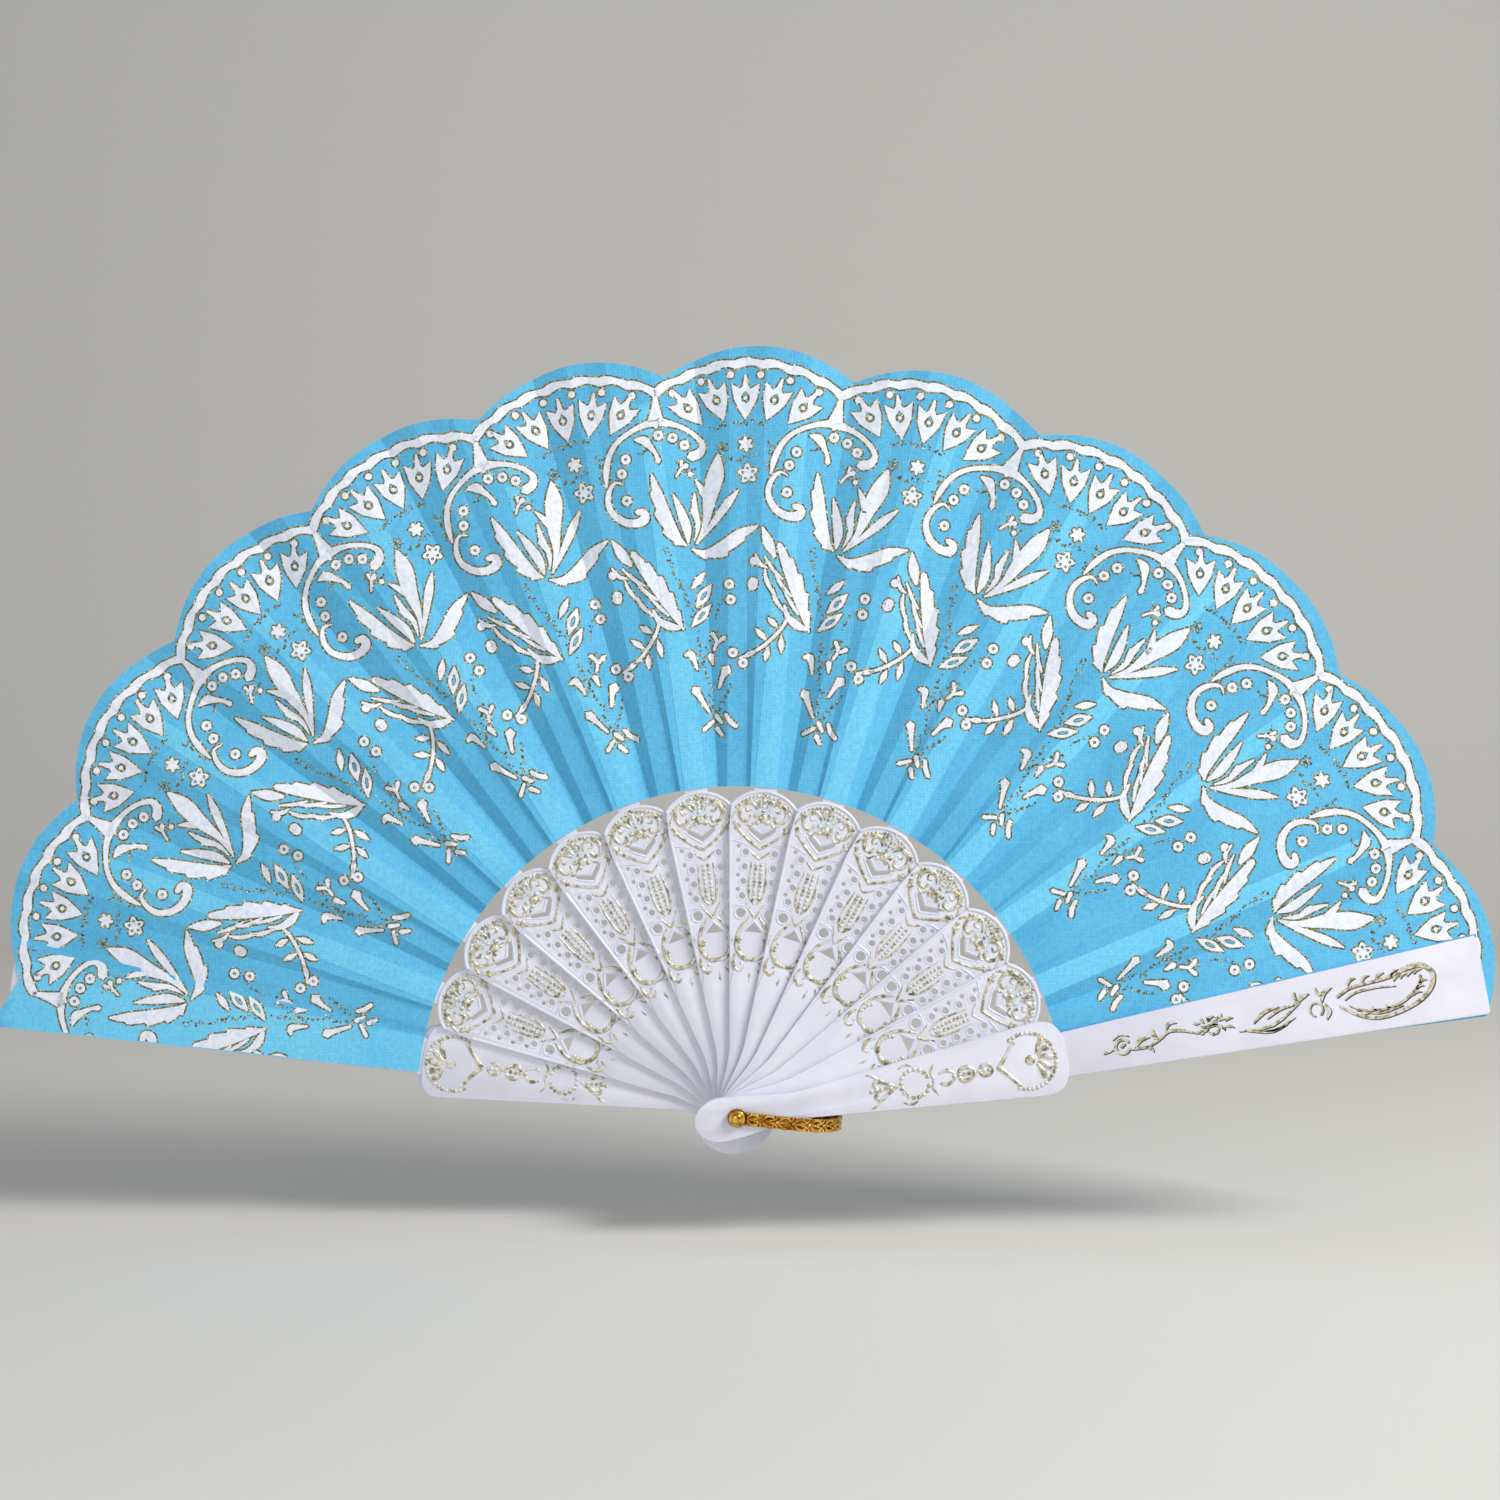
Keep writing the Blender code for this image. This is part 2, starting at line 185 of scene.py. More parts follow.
def upright(angle, depth):
    """The matrix that stands a flat piece up: its X runs out from the rivet, its Z faces the front."""
    out = (math.cos(angle), 0.0, math.sin(angle))
    across = (-math.sin(angle), 0.0, math.cos(angle))
    rows = zip(out, across, (0.0, -1.0, 0.0), (0.0, depth, 0.0))
    return Matrix([list(row) for row in rows] + [[0.0, 0.0, 0.0, 1.0]])


def new_piece(name, mesh, material, matrix=None):
    """A finished piece: its object sits at the origin, and its place is in its mesh."""
    mesh = mesh.copy()
    mesh.name = name
    if matrix is not None:
        mesh.transform(matrix)
    mesh.materials.clear()
    mesh.materials.append(material)
    piece = bpy.data.objects.new(name, mesh)
    bpy.context.scene.collection.objects.link(piece)
    return piece


def joined(meshes):
    """One mesh from several."""
    shape = bmesh.new()
    for mesh in meshes:
        shape.from_mesh(mesh)
    whole = bpy.data.meshes.new("joined")
    shape.to_mesh(whole)
    shape.free()
    return whole


# %% [markdown]
# ## Lines and outlines
# Both the print and the moulded relief are drawn with the same pen. A few points in millimetres are
# joined by a smooth curve (Catmull-Rom, which passes through every point), and a width at each point
# turns the line into a leaf, a petal or a scroll.


# %% The pen
def smooth_line(points, widths=None, steps=4):
    """A smooth line through the points, with its width interpolated along it, as rows of (x, y, width)."""
    widths = widths if widths is not None else [1.0] * len(points)
    rows = np.array([(*point, width) for point, width in zip(points, widths)], float)
    if len(rows) < 3:
        steps_at = np.linspace(0, 1, steps + 1)[:, None]
        return rows[0] + (rows[-1] - rows[0]) * steps_at
    before, after = 2 * rows[0] - rows[1], 2 * rows[-1] - rows[-2]
    padded_rows = np.vstack([before, rows, after])
    line = []
    for i in range(len(rows) - 1):
        p0, p1, p2, p3 = padded_rows[i : i + 4]
        for t in np.arange(steps) / steps:
            bend = 2 * p1 + (p2 - p0) * t + (2 * p0 - 5 * p1 + 4 * p2 - p3) * t**2
            line.append((bend + (3 * p1 - p0 - 3 * p2 + p3) * t**3) / 2)
    line.append(rows[-1])
    line = np.array(line)
    line[:, 2] = np.maximum(line[:, 2], 0.05)
    return line


def ribbon(points, widths, lobes=0, side=0, depth=0.35, steps=5):
    """A closed outline round a smooth line.

    lobes cuts leaf teeth into its left (1), right (-1) or both sides.
    """
    line = smooth_line(points, widths, steps)
    run = np.gradient(line[:, :2], axis=0)
    run /= np.maximum(np.hypot(run[:, 0], run[:, 1]), 1e-9)[:, None]
    across = np.stack([-run[:, 1], run[:, 0]], axis=1)
    half = line[:, 2] / 2
    share = np.linspace(0, 1, len(line))
    tooth = 1 - depth * ((share * lobes) % 1.0) if lobes else np.ones(len(line))
    left = tooth if side >= 0 else 1.0
    right = tooth if side <= 0 else 1.0
    one = line[:, :2] + across * (half * left)[:, None]
    other = line[:, :2] - across * (half * right)[:, None]
    ends = []
    for at, way, width in ((-1, 1, half[-1]), (0, -1, half[0])):
        cap = [line[at, :2] + way * run[at] * width * 0.9] if width > 0.2 else []
        ends.append(cap)
    return [*map(tuple, one), *map(tuple, ends[0]), *map(tuple, other[::-1]), *map(tuple, ends[1])]


def ellipse(centre, wide, tall=None, turn=0.0, sides=12):
    tall = wide if tall is None else tall
    c, s = math.cos(turn), math.sin(turn)
    points = []
    for i in range(sides):
        x, y = wide * math.cos(math.tau * i / sides), tall * math.sin(math.tau * i / sides)
        points.append((centre[0] + x * c - y * s, centre[1] + x * s + y * c))
    return points


def grown(outline, by):
    """The outline moved outwards by this much, or inwards where it is negative."""
    points = np.array(outline)
    ahead, behind = np.roll(points, -1, axis=0), np.roll(points, 1, axis=0)
    area = np.sum(points[:, 0] * ahead[:, 1] - ahead[:, 0] * points[:, 1])
    run = ahead - behind
    run /= np.maximum(np.hypot(run[:, 0], run[:, 1]), 1e-9)[:, None]
    out = np.stack([run[:, 1], -run[:, 0]], axis=1) * (1 if area > 0 else -1)
    return [tuple(point) for point in points + out * by]


def filled(shapes):
    """Flat triangles from (outline, holes) shapes in millimetres, as an array of shape (count, 3, 2)."""
    triangles = []
    for outline, *holes in shapes:
        loops = [[Vector((x, y, 0.0)) for x, y in loop] for loop in (outline, *holes)]
        corners = [point for loop in loops for point in loop]
        for triangle in tessellate_polygon(loops):
            triangles.append([corners[i].xy for i in triangle])
    return np.array(triangles, float)


def flat_mesh(name, triangles):
    """A mesh in the XZ plane from flat triangles in millimetres, all facing the front."""
    a, b, c = triangles[:, 0], triangles[:, 1], triangles[:, 2]
    area = (b[:, 0] - a[:, 0]) * (c[:, 1] - a[:, 1]) - (b[:, 1] - a[:, 1]) * (c[:, 0] - a[:, 0])
    triangles = triangles[np.abs(area) > 1e-5].copy()
    area = area[np.abs(area) > 1e-5]
    triangles[area < 0] = triangles[area < 0][:, ::-1]
    flat = triangles.reshape(-1, 2)
    corners, index = np.unique(np.round(flat, 4), axis=0, return_inverse=True)
    faces = index.reshape(-1, 3)
    faces = faces[(faces[:, 0] != faces[:, 1]) & (faces[:, 1] != faces[:, 2]) & (faces[:, 0] != faces[:, 2])]
    mesh = bpy.data.meshes.new(name)
    mesh.from_pydata([(x * MM, 0.0, z * MM) for x, z in corners], [], faces.tolist())
    return mesh


# %% [markdown]
# ## Finishes
# A finish starts from what the real material is. Colours are written as the sRGB hex codes a painter
# would use, and one function turns them into the linear light that the shader works in. Numbers that
# are the same all over a surface are set on the shader's own sockets.


# %% Colour and material helpers
def colour(code):
    """An sRGB hex code as linear red, green, blue and alpha."""
    channels = [int(code[i : i + 2], 16) / 255 for i in (1, 3, 5)]
    return (*[c / 12.92 if c <= 0.04045 else ((c + 0.055) / 1.055) ** 2.4 for c in channels], 1.0)


def new_material(name, **constants):
    """A material with these constants on its Principled shader, its tree and its shader."""
    material = bpy.data.materials.new(name)
    material.use_nodes = True
    shader = material.node_tree.nodes["Principled BSDF"]
    for socket, value in constants.items():
        shader.inputs[socket.replace("_", " ")].default_value = value
    return material, material.node_tree, shader


def ramp(tree, factor, stops, interpolation="LINEAR"):
    """A colour ramp with (position, hex code) stops."""
    node = add(tree, "ShaderNodeValToRGB", {"Fac": factor})
    node.color_ramp.interpolation = interpolation
    elements = node.color_ramp.elements
    for element, (position, code) in zip(elements, stops[:2]):
        element.position, element.color = position, colour(code)
    for position, code in stops[2:]:
        elements.new(position).color = colour(code)
    return node.outputs["Color"]


# %% [markdown]
# ### The cloth
# The leaf is thin polyester cloth, dyed sky blue. Its threads lie about 0.3 mm apart, too fine to show
# at this size, so they are drawn three times as coarse. Where the cloth is glued to a white slip, its blue
# is painted lighter, as painted light for the slip showing through. The cloth's own "backed" attribute,
# from 0 to 1, says where.

# %% Sky-blue woven polyester
THREAD = 0.9 * MM  # drawn spacing; the real threads are 0.3 mm apart
cloth_blue, tree, shader = new_material(
    "polyester_cloth_sky_blue", Roughness=0.62, IOR=1.5, Sheen_Weight=0.3, Sheen_Roughness=0.4
)
shader.inputs["Sheen Tint"].default_value = colour("#BFEBFF")
place_on = add(tree, "ShaderNodeTexCoord")
backed = add(tree, "ShaderNodeAttribute", attribute_name="backed")
warp = add(
    tree, "ShaderNodeTexWave",
    {
        "Vector": place_on.outputs["Object"], "Scale": 0.314 / THREAD, "Distortion": 1.2, "Detail": 2.0,
        "Detail Scale": 2.0
    },
    bands_direction="X"
)
weft = add(
    tree, "ShaderNodeTexWave",
    {
        "Vector": place_on.outputs["Object"], "Scale": 0.314 / THREAD, "Distortion": 1.2, "Detail": 2.0,
        "Detail Scale": 2.0
    },
    bands_direction="Z"
)
slub = add(
    tree, "ShaderNodeTexNoise",
    {"Vector": place_on.outputs["Object"], "Scale": 900.0, "Detail": 3.0, "Roughness": 0.7}
)
cloud = add(tree, "ShaderNodeTexNoise", {"Vector": place_on.outputs["Object"], "Scale": 60.0, "Detail": 5.0})
free_tone = ramp(tree, cloud.outputs["Fac"], [(0.3, "#58BAE6"), (0.7, "#64C6F0")])
# Painted light: over a slip the cloth takes a lighter blue, for the white slip showing through it.
painted_show_through_tone = ramp(tree, cloud.outputs["Fac"], [(0.3, "#6ED2FA"), (0.7, "#7CDCFF")])
tone = add(
    tree, "ShaderNodeMix", {0: backed.outputs["Fac"], 6: free_tone, 7: painted_show_through_tone}, data_type="RGBA"
).outputs[2]
speckle = ramp(tree, slub.outputs["Fac"], [(0.32, "#D2DEE6"), (0.68, "#FFFFFF")])
mottled = add(
    tree, "ShaderNodeMix", {0: 0.8, 6: tone, 7: speckle}, data_type="RGBA", blend_type="MULTIPLY"
).outputs[2]
tree.links.new(mottled, shader.inputs["Base Color"])
threads = add(tree, "ShaderNodeMath", {0: warp.outputs["Fac"], 1: weft.outputs["Fac"]}, operation="MAXIMUM")
cloth_height = add(tree, "ShaderNodeMath", {0: threads, 1: slub.outputs["Fac"]}, operation="ADD")
cloth_bump = add(tree, "ShaderNodeBump", {"Height": cloth_height, "Strength": 0.35, "Distance": 0.12 * MM})
tree.links.new(cloth_bump.outputs["Normal"], shader.inputs["Normal"])

# %% [markdown]
# ### The inks
# The lace pattern is screen-printed. White puff ink stands a tenth of a millimetre proud and is matt.
# A second pass lays gold glitter: flakes of foil in clear ink. Cells of a Voronoi pattern stand for the
# flakes, drawn at 0.35 mm so that they show, and each cell is painted a random tone from dark to bright
# as a painted glint, for how the flake lies.

# %% White puff ink and gold glitter ink
ink_white, tree, shader = new_material("puff_ink_white", Roughness=0.55, IOR=1.5)
place_on = add(tree, "ShaderNodeTexCoord")
grain = add(tree, "ShaderNodeTexNoise", {"Vector": place_on.outputs["Object"], "Scale": 700.0, "Detail": 2.0})
tree.links.new(
    ramp(tree, grain.outputs["Fac"], [(0.3, "#D8E0F2"), (0.6, "#EEF2FC")]), shader.inputs["Base Color"]
)
ink_bump = add(
    tree, "ShaderNodeBump", {"Height": grain.outputs["Fac"], "Strength": 0.4, "Distance": 0.1 * MM}
)
tree.links.new(ink_bump.outputs["Normal"], shader.inputs["Normal"])

FLAKE = 0.35 * MM
ink_gold, tree, shader = new_material("glitter_ink_gold", Roughness=0.42, Metallic=0.35)
place_on = add(tree, "ShaderNodeTexCoord")
flakes = add(tree, "ShaderNodeTexVoronoi", {"Vector": place_on.outputs["Object"], "Scale": 1 / FLAKE})
lie = add(tree, "ShaderNodeSeparateColor", {0: flakes.outputs["Color"]})
# Painted glints: each flake's colour, from dark to bright, stands for the light it catches.
painted_flake_glints = [(0.0, "#46452F"), (0.3, "#746E48"), (0.55, "#9A8E58"), (0.8, "#C2B679"), (0.93, "#F4EEC8")]
tree.links.new(ramp(tree, lie.outputs["Red"], painted_flake_glints, "CONSTANT"), shader.inputs["Base Color"])
flake_bump = add(
    tree, "ShaderNodeBump", {"Height": lie.outputs["Green"], "Strength": 0.5, "Distance": 0.08 * MM}
)
tree.links.new(flake_bump.outputs["Normal"], shader.inputs["Normal"])

# %% [markdown]
# ### The plastic and its gilding
# The sticks and guards are injection-moulded polystyrene, white with a touch of lilac, glossy and a
# little translucent. Their relief is wiped with champagne-gold foil paint, which holds on the high
# spots and is thin or missing in between. The darkest tone of the gilding, where its bump is lowest, is
# painted shade.

# %% Moulded white polystyrene and champagne gilding
plastic_white, tree, shader = new_material(
    "moulded_polystyrene_white", Roughness=0.3, IOR=1.59, Subsurface_Weight=0.25, Subsurface_Scale=0.6 * MM,
    Coat_Weight=0.15, Coat_Roughness=0.15
)
place_on = add(tree, "ShaderNodeTexCoord")
flow = add(
    tree, "ShaderNodeTexNoise",
    {"Vector": place_on.outputs["Object"], "Scale": 60.0, "Detail": 3.0, "Distortion": 0.6}
)
tree.links.new(
    ramp(tree, flow.outputs["Fac"], [(0.3, "#DBDAE9"), (0.7, "#E5E5F2")]), shader.inputs["Base Color"]
)
orange_peel = add(
    tree, "ShaderNodeTexNoise", {"Vector": place_on.outputs["Object"], "Scale": 260.0, "Detail": 2.0}
)
peel_bump = add(
    tree, "ShaderNodeBump", {"Height": orange_peel.outputs["Fac"], "Strength": 0.12, "Distance": 0.1 * MM}
)
tree.links.new(peel_bump.outputs["Normal"], shader.inputs["Normal"])

gilding, tree, shader = new_material("champagne_gilding_on_plastic", Roughness=0.36, Metallic=0.4)
place_on = add(tree, "ShaderNodeTexCoord")
wear_and_shade_noise = add(
    tree, "ShaderNodeTexNoise",
    {"Vector": place_on.outputs["Object"], "Scale": 620.0, "Detail": 3.0, "Roughness": 0.6}
)
# Partly wear, partly painted shade: the darkest stop is painted shade in the relief, and the pale stops are
# worn foil and bare plastic.
gilt_wear_and_painted_shade = [(0.31, "#66614F"), (0.40, "#A29B80"), (0.49, "#CBC4A4"), (0.56, "#E3DFCC"), (0.62, "#DEDDE8")]
tree.links.new(ramp(tree, wear_and_shade_noise.outputs["Fac"], gilt_wear_and_painted_shade), shader.inputs["Base Color"])
gilt_bump = add(
    tree, "ShaderNodeBump", {"Height": wear_and_shade_noise.outputs["Fac"], "Strength": 0.5, "Distance": 0.1 * MM}
)
tree.links.new(gilt_bump.outputs["Normal"], shader.inputs["Normal"])

# %% [markdown]
# ### The brass
# The rivet and the bail are gilt brass. It reflects its surroundings strongly, and its hollows hold a
# dark brown tarnish that the polishing wheel doesn't reach.

# %% Gilt brass with tarnished hollows
brass, tree, shader = new_material("gilt_brass_polished", Roughness=0.24, Metallic=1.0)
place_on = add(tree, "ShaderNodeTexCoord")
tarnish = add(
    tree, "ShaderNodeTexNoise", {"Vector": place_on.outputs["Object"], "Scale": 420.0, "Detail": 3.0}
)
tree.links.new(
    ramp(tree, tarnish.outputs["Fac"], [(0.30, "#7A4614"), (0.42, "#CF9634"), (0.60, "#F0C466")]),
    shader.inputs["Base Color"]
)
brass_bump = add(
    tree, "ShaderNodeBump", {"Height": tarnish.outputs["Fac"], "Strength": 0.3, "Distance": 0.1 * MM}
)
tree.links.new(brass_bump.outputs["Normal"], shader.inputs["Normal"])
print("materials:", ", ".join(material.name for material in bpy.data.materials))

# %% [markdown]
# ## The leaf's pleats
# The leaf is one strip of cloth. It is glued to the front of each slip, folds forward at a mountain
# crease just past the slip, drops back, and returns at a valley crease just before the next slip. The
# same rule shapes every pleat, so it is written once as a Geometry Nodes tree. The tree takes any flat
# mesh that lies in the plane of the fan, works out where each point lies in its pleat, and moves it to
# that depth. The cloth and both inks go through the same tree, so the print follows every crease. It
# also stores how far each point turns when the fan closes.

# %% The sizes of the leaf
LEAF_INNER = 93.2
LEAF_REACH = 219.5
SCALLOP_DEPTH = 7.7
LEAF_CUSP = LEAF_REACH - SCALLOP_DEPTH
SCALLOP_PERIOD = math.radians(14.87)
FIRST_CREST = math.radians(13.9)
MOUNTAIN = math.radians(2.7)
VALLEY = math.radians(4.0)
FRONT_HEM = math.radians(3.2)
REAR_HEM = math.radians(2.4)
SLIP_ROOT, SLIP_REACH = 84.5, 205.0
SLIP_ROOT_HALF, SLIP_TIP_HALF = 3.3, 2.7
ARM_ROOT, ARM_REACH = 87.8, 214.5
ARM_ROOT_HALF, ARM_TIP_HALF = 6.0, 11.25
CLOTH_HALF = 0.1
EDGE_BAND = 0.15
SLIP_CLEARANCE = 0.2  # the cloth keeps this far from a slip's edge where it passes behind it
BEHIND_SLIP_DRIFT = 0.14 * MM  # how much further back the cloth goes while it passes behind a slip
MIDDLE_REACH = 150.0


def leaf_edge(angle):
    """The scalloped outer edge in millimetres: round crests that meet in cusps."""
    share = ((angle - FIRST_CREST) / SCALLOP_PERIOD + 0.5) % 1.0
    return LEAF_REACH - SCALLOP_DEPTH * (2 * share - 1) ** 2


# %% The pleating tree
PLEAT_SIZES = {
    "First Angle": first_angle,
    "Pitch": pitch_angle,
    "First Depth": first_depth,
    "Step": step_depth,
    "Mountain": MOUNTAIN,
    "Valley": VALLEY,
    "Mountain Rise": 0.6 * MM,
    "Valley Dip": 1.5 * MM,
    "Last Valley Dip": -0.2 * MM,
    "Dip Change": 1.1 * MM,
    "Over Slip Edge": -0.38 * MM,
    "Behind Slip": 0.52 * MM,
    "Slip Crown": 0.08 * MM,
    "Hem Behind Arm": 0.02 * MM,
}
pleat, given = new_tree("pleat_cloth", {**dict.fromkeys(PLEAT_SIZES, "Float"), "Material": "Material"})
size = given.outputs
position = add(pleat, "GeometryNodeInputPosition")
flat = add(pleat, "ShaderNodeSeparateXYZ", {0: position})
in_plane = add(pleat, "ShaderNodeCombineXYZ", {"X": flat.outputs["X"], "Z": flat.outputs["Z"]})
reach = add(pleat, "ShaderNodeVectorMath", {0: in_plane}, operation="LENGTH").outputs["Value"]
angle = add(pleat, "ShaderNodeMath", {0: flat.outputs["Z"], 1: flat.outputs["X"]}, operation="ARCTAN2")
turned = add(pleat, "ShaderNodeMath", {0: angle, 1: size["First Angle"]}, operation="SUBTRACT")
from_valley = add(pleat, "ShaderNodeMath", {0: turned, 1: size["Valley"]}, operation="ADD")
pleats_passed = add(pleat, "ShaderNodeMath", {0: from_valley, 1: size["Pitch"]}, operation="DIVIDE")
whole = add(pleat, "ShaderNodeMath", {0: pleats_passed}, operation="FLOOR")
index = add(pleat, "ShaderNodeClamp", {"Value": whole, "Min": 0.0, "Max": float(LAST)})
stick_turn = add(pleat, "ShaderNodeMath", {0: index, 1: size["Pitch"]}, operation="MULTIPLY")
local = add(pleat, "ShaderNodeMath", {0: turned, 1: stick_turn}, operation="SUBTRACT")
is_first = add(pleat, "ShaderNodeMath", {0: index, 1: 0.5}, operation="LESS_THAN")
is_last = add(pleat, "ShaderNodeMath", {0: index, 1: LAST - 0.5}, operation="GREATER_THAN")
level = add(
    pleat, "ShaderNodeMath", {0: index, 1: size["Step"], 2: size["First Depth"]}, operation="MULTIPLY_ADD"
)

# Half the width of what backs the cloth here: a slip, or the rear guard's arm behind the last pleat
slip_half = add(
    pleat, "ShaderNodeMapRange",
    {
        "Value": reach, "From Min": SLIP_ROOT * MM, "From Max": SLIP_REACH * MM,
        "To Min": SLIP_ROOT_HALF * MM, "To Max": SLIP_TIP_HALF * MM
    }
)
arm_half = add(
    pleat, "ShaderNodeMapRange",
    {
        "Value": reach, "From Min": ARM_ROOT * MM, "From Max": ARM_REACH * MM, "To Min": ARM_ROOT_HALF * MM,
        "To Max": ARM_TIP_HALF * MM
    }
)
backing_half = add(
    pleat, "ShaderNodeMix", {0: is_last, 2: slip_half, 3: arm_half}, data_type="FLOAT"
).outputs[0]


def half_angle(half, margin):
    """The angle from the stick's centre line to its edge, with a margin in metres."""
    wider = add(pleat, "ShaderNodeMath", {0: half, 1: margin}, operation="ADD")
    return add(pleat, "ShaderNodeMath", {0: wider, 1: reach}, operation="DIVIDE")


def minus(value):
    return add(pleat, "ShaderNodeMath", {0: value, 1: -1.0}, operation="MULTIPLY")


def slope(value, start, end, change):
    """A straight change in depth between two angles, and none outside them."""
    sockets = {"Value": value, "From Min": start, "From Max": end, "To Min": 0.0, "To Max": change}
    return add(pleat, "ShaderNodeMapRange", sockets)


def total(*parts):
    result = parts[0]
    for part in parts[1:]:
        result = add(pleat, "ShaderNodeMath", {0: result, 1: part}, operation="ADD")
    return result


def valley_dip(stick):
    """How far the valley before this stick lies behind it: more further out, least at the rear arm."""
    left = add(pleat, "ShaderNodeMath", {0: float(LAST), 1: stick}, operation="SUBTRACT")
    ramped = add(
        pleat, "ShaderNodeMath", {0: left, 1: size["Dip Change"], 2: size["Last Valley Dip"]},
        operation="MULTIPLY_ADD"
    )
    limited = add(pleat, "ShaderNodeMath", {0: ramped, 1: size["Valley Dip"]}, operation="MINIMUM")
    growth = add(
        pleat, "ShaderNodeMapRange",
        {"Value": reach, "From Min": 0.0, "From Max": 0.3, "To Min": 0.5, "To Max": 1.5}
    )
    return add(pleat, "ShaderNodeMath", {0: limited, 1: growth}, operation="MULTIPLY")


outer, inner = half_angle(backing_half, EDGE_BAND * MM), half_angle(backing_half, -EDGE_BAND * MM)
dip = valley_dip(index)
next_index = add(pleat, "ShaderNodeMath", {0: index, 1: 1.0}, operation="ADD")
next_dip = valley_dip(next_index)
to_slip = add(pleat, "ShaderNodeMath", {0: size["Over Slip Edge"], 1: dip}, operation="SUBTRACT")
rise = minus(size["Mountain Rise"])
to_mountain = add(pleat, "ShaderNodeMath", {0: rise, 1: size["Over Slip Edge"]}, operation="SUBTRACT")
glued = total(
    dip,
    slope(local, minus(size["Valley"]), minus(outer), to_slip),
    slope(local, minus(outer), minus(inner), minus(size["Slip Crown"])),
    slope(local, minus(inner), 0.0, minus(size["Slip Crown"])),
    slope(local, 0.0, inner, size["Slip Crown"]),
    slope(local, inner, outer, size["Slip Crown"]),
    slope(local, outer, size["Mountain"], to_mountain),
)
start_level = add(
    pleat, "ShaderNodeMix", {0: is_first, 2: rise, 3: size["Hem Behind Arm"]}, data_type="FLOAT"
).outputs[0]
glued_level = add(
    pleat, "ShaderNodeMix", {0: is_first, 2: glued, 3: size["Hem Behind Arm"]}, data_type="FLOAT"
).outputs[0]

# The free panel, from the mountain crease (0) to the next valley (1)
free_end = add(pleat, "ShaderNodeMath", {0: size["Pitch"], 1: size["Valley"]}, operation="SUBTRACT")
across_free = add(
    pleat, "ShaderNodeMapRange", {"Value": local, "From Min": size["Mountain"], "From Max": free_end}
)
fold_width = add(pleat, "ShaderNodeMath", {0: size["Mountain"], 1: size["Valley"]}, operation="ADD")
slip_edge = half_angle(slip_half, SLIP_CLEARANCE * MM)
short_of = add(pleat, "ShaderNodeMath", {0: size["Mountain"], 1: slip_edge}, operation="SUBTRACT")
beyond = add(pleat, "ShaderNodeMath", {0: size["Mountain"], 1: slip_edge}, operation="ADD")
behind_from = add(pleat, "ShaderNodeMath", {0: short_of, 1: fold_width}, operation="DIVIDE")
behind_to = add(pleat, "ShaderNodeMath", {0: beyond, 1: fold_width}, operation="DIVIDE")
drop = add(pleat, "ShaderNodeMath", {0: size["Behind Slip"], 1: start_level}, operation="SUBTRACT")
after_slip = add(pleat, "ShaderNodeMath", {0: size["Behind Slip"], 1: BEHIND_SLIP_DRIFT}, operation="ADD")
to_valley = add(
    pleat, "ShaderNodeMath", {0: total(size["Step"], next_dip), 1: after_slip}, operation="SUBTRACT"
)
free = total(
    slope(across_free, 0.0, behind_from, drop),
    slope(across_free, behind_from, behind_to, BEHIND_SLIP_DRIFT),
    slope(across_free, behind_to, 1.0, to_valley),
)
depth = total(level, glued_level, free, flat.outputs["Y"])

# How much of the fan's closing turn each point makes, and where a slip backs the cloth
passed = add(pleat, "ShaderNodeMath", {0: index, 1: across_free}, operation="ADD")
turn_share = add(
    pleat, "ShaderNodeMapRange",
    {"Value": passed, "From Min": 0.0, "From Max": float(LAST), "To Min": 1.0, "To Max": 0.0}
)
off_centre = add(pleat, "ShaderNodeMath", {0: local}, operation="ABSOLUTE")
over = add(
    pleat, "ShaderNodeMapRange",
    {"Value": off_centre, "From Min": inner, "From Max": outer, "To Min": 1.0, "To Max": 0.0}
)
backing_end = add(
    pleat, "ShaderNodeMix", {0: is_last, 2: SLIP_REACH * MM, 3: ARM_REACH * MM}, data_type="FLOAT"
).outputs[0]
past_end = add(pleat, "ShaderNodeMath", {0: reach, 1: backing_end}, operation="LESS_THAN")
not_first = add(pleat, "ShaderNodeMath", {0: 1.0, 1: is_first}, operation="SUBTRACT")
backed_here = add(pleat, "ShaderNodeMath", {0: over, 1: past_end}, operation="MULTIPLY")
backed_share = add(pleat, "ShaderNodeMath", {0: backed_here, 1: not_first}, operation="MULTIPLY")

new_place = add(pleat, "ShaderNodeCombineXYZ", {"X": flat.outputs["X"], "Y": depth, "Z": flat.outputs["Z"]})
shares = add(
    pleat, "GeometryNodeStoreNamedAttribute",
    {"Geometry": given.outputs[0], "Name": "turn_share", "Value": turn_share}
)
backs = add(
    pleat, "GeometryNodeStoreNamedAttribute", {"Geometry": shares, "Name": "backed", "Value": backed_share}
)
pleated = add(pleat, "GeometryNodeSetPosition", {"Geometry": backs, "Position": new_place})
close_tree(pleat, pleated, size["Material"])
print("pleating tree:", len(pleat.nodes), "nodes")

# %% [markdown]
# ## The cloth
# The flat cloth is drawn as columns that run outwards and rows that run round. Columns lie exactly on
# the creases, on the slips' edges and on the scallops' cusps, because a crease can only be sharp where
# the mesh has an edge. The cloth has a front and a back 0.2 mm apart, joined round its border.


# %% Draw the flat cloth
def backing_angle(stick, r, margin):
    """Half the angle that the slip, or the rear arm, takes up at this reach, all in millimetres."""
    if stick == LAST:
        share = min(max((r - ARM_ROOT) / (ARM_REACH - ARM_ROOT), 0), 1)
        return (ARM_ROOT_HALF + share * (ARM_TIP_HALF - ARM_ROOT_HALF) + margin) / r
    share = min(max((r - SLIP_ROOT) / (SLIP_REACH - SLIP_ROOT), 0), 1)
    return (SLIP_ROOT_HALF + share * (SLIP_TIP_HALF - SLIP_ROOT_HALF) + margin) / r


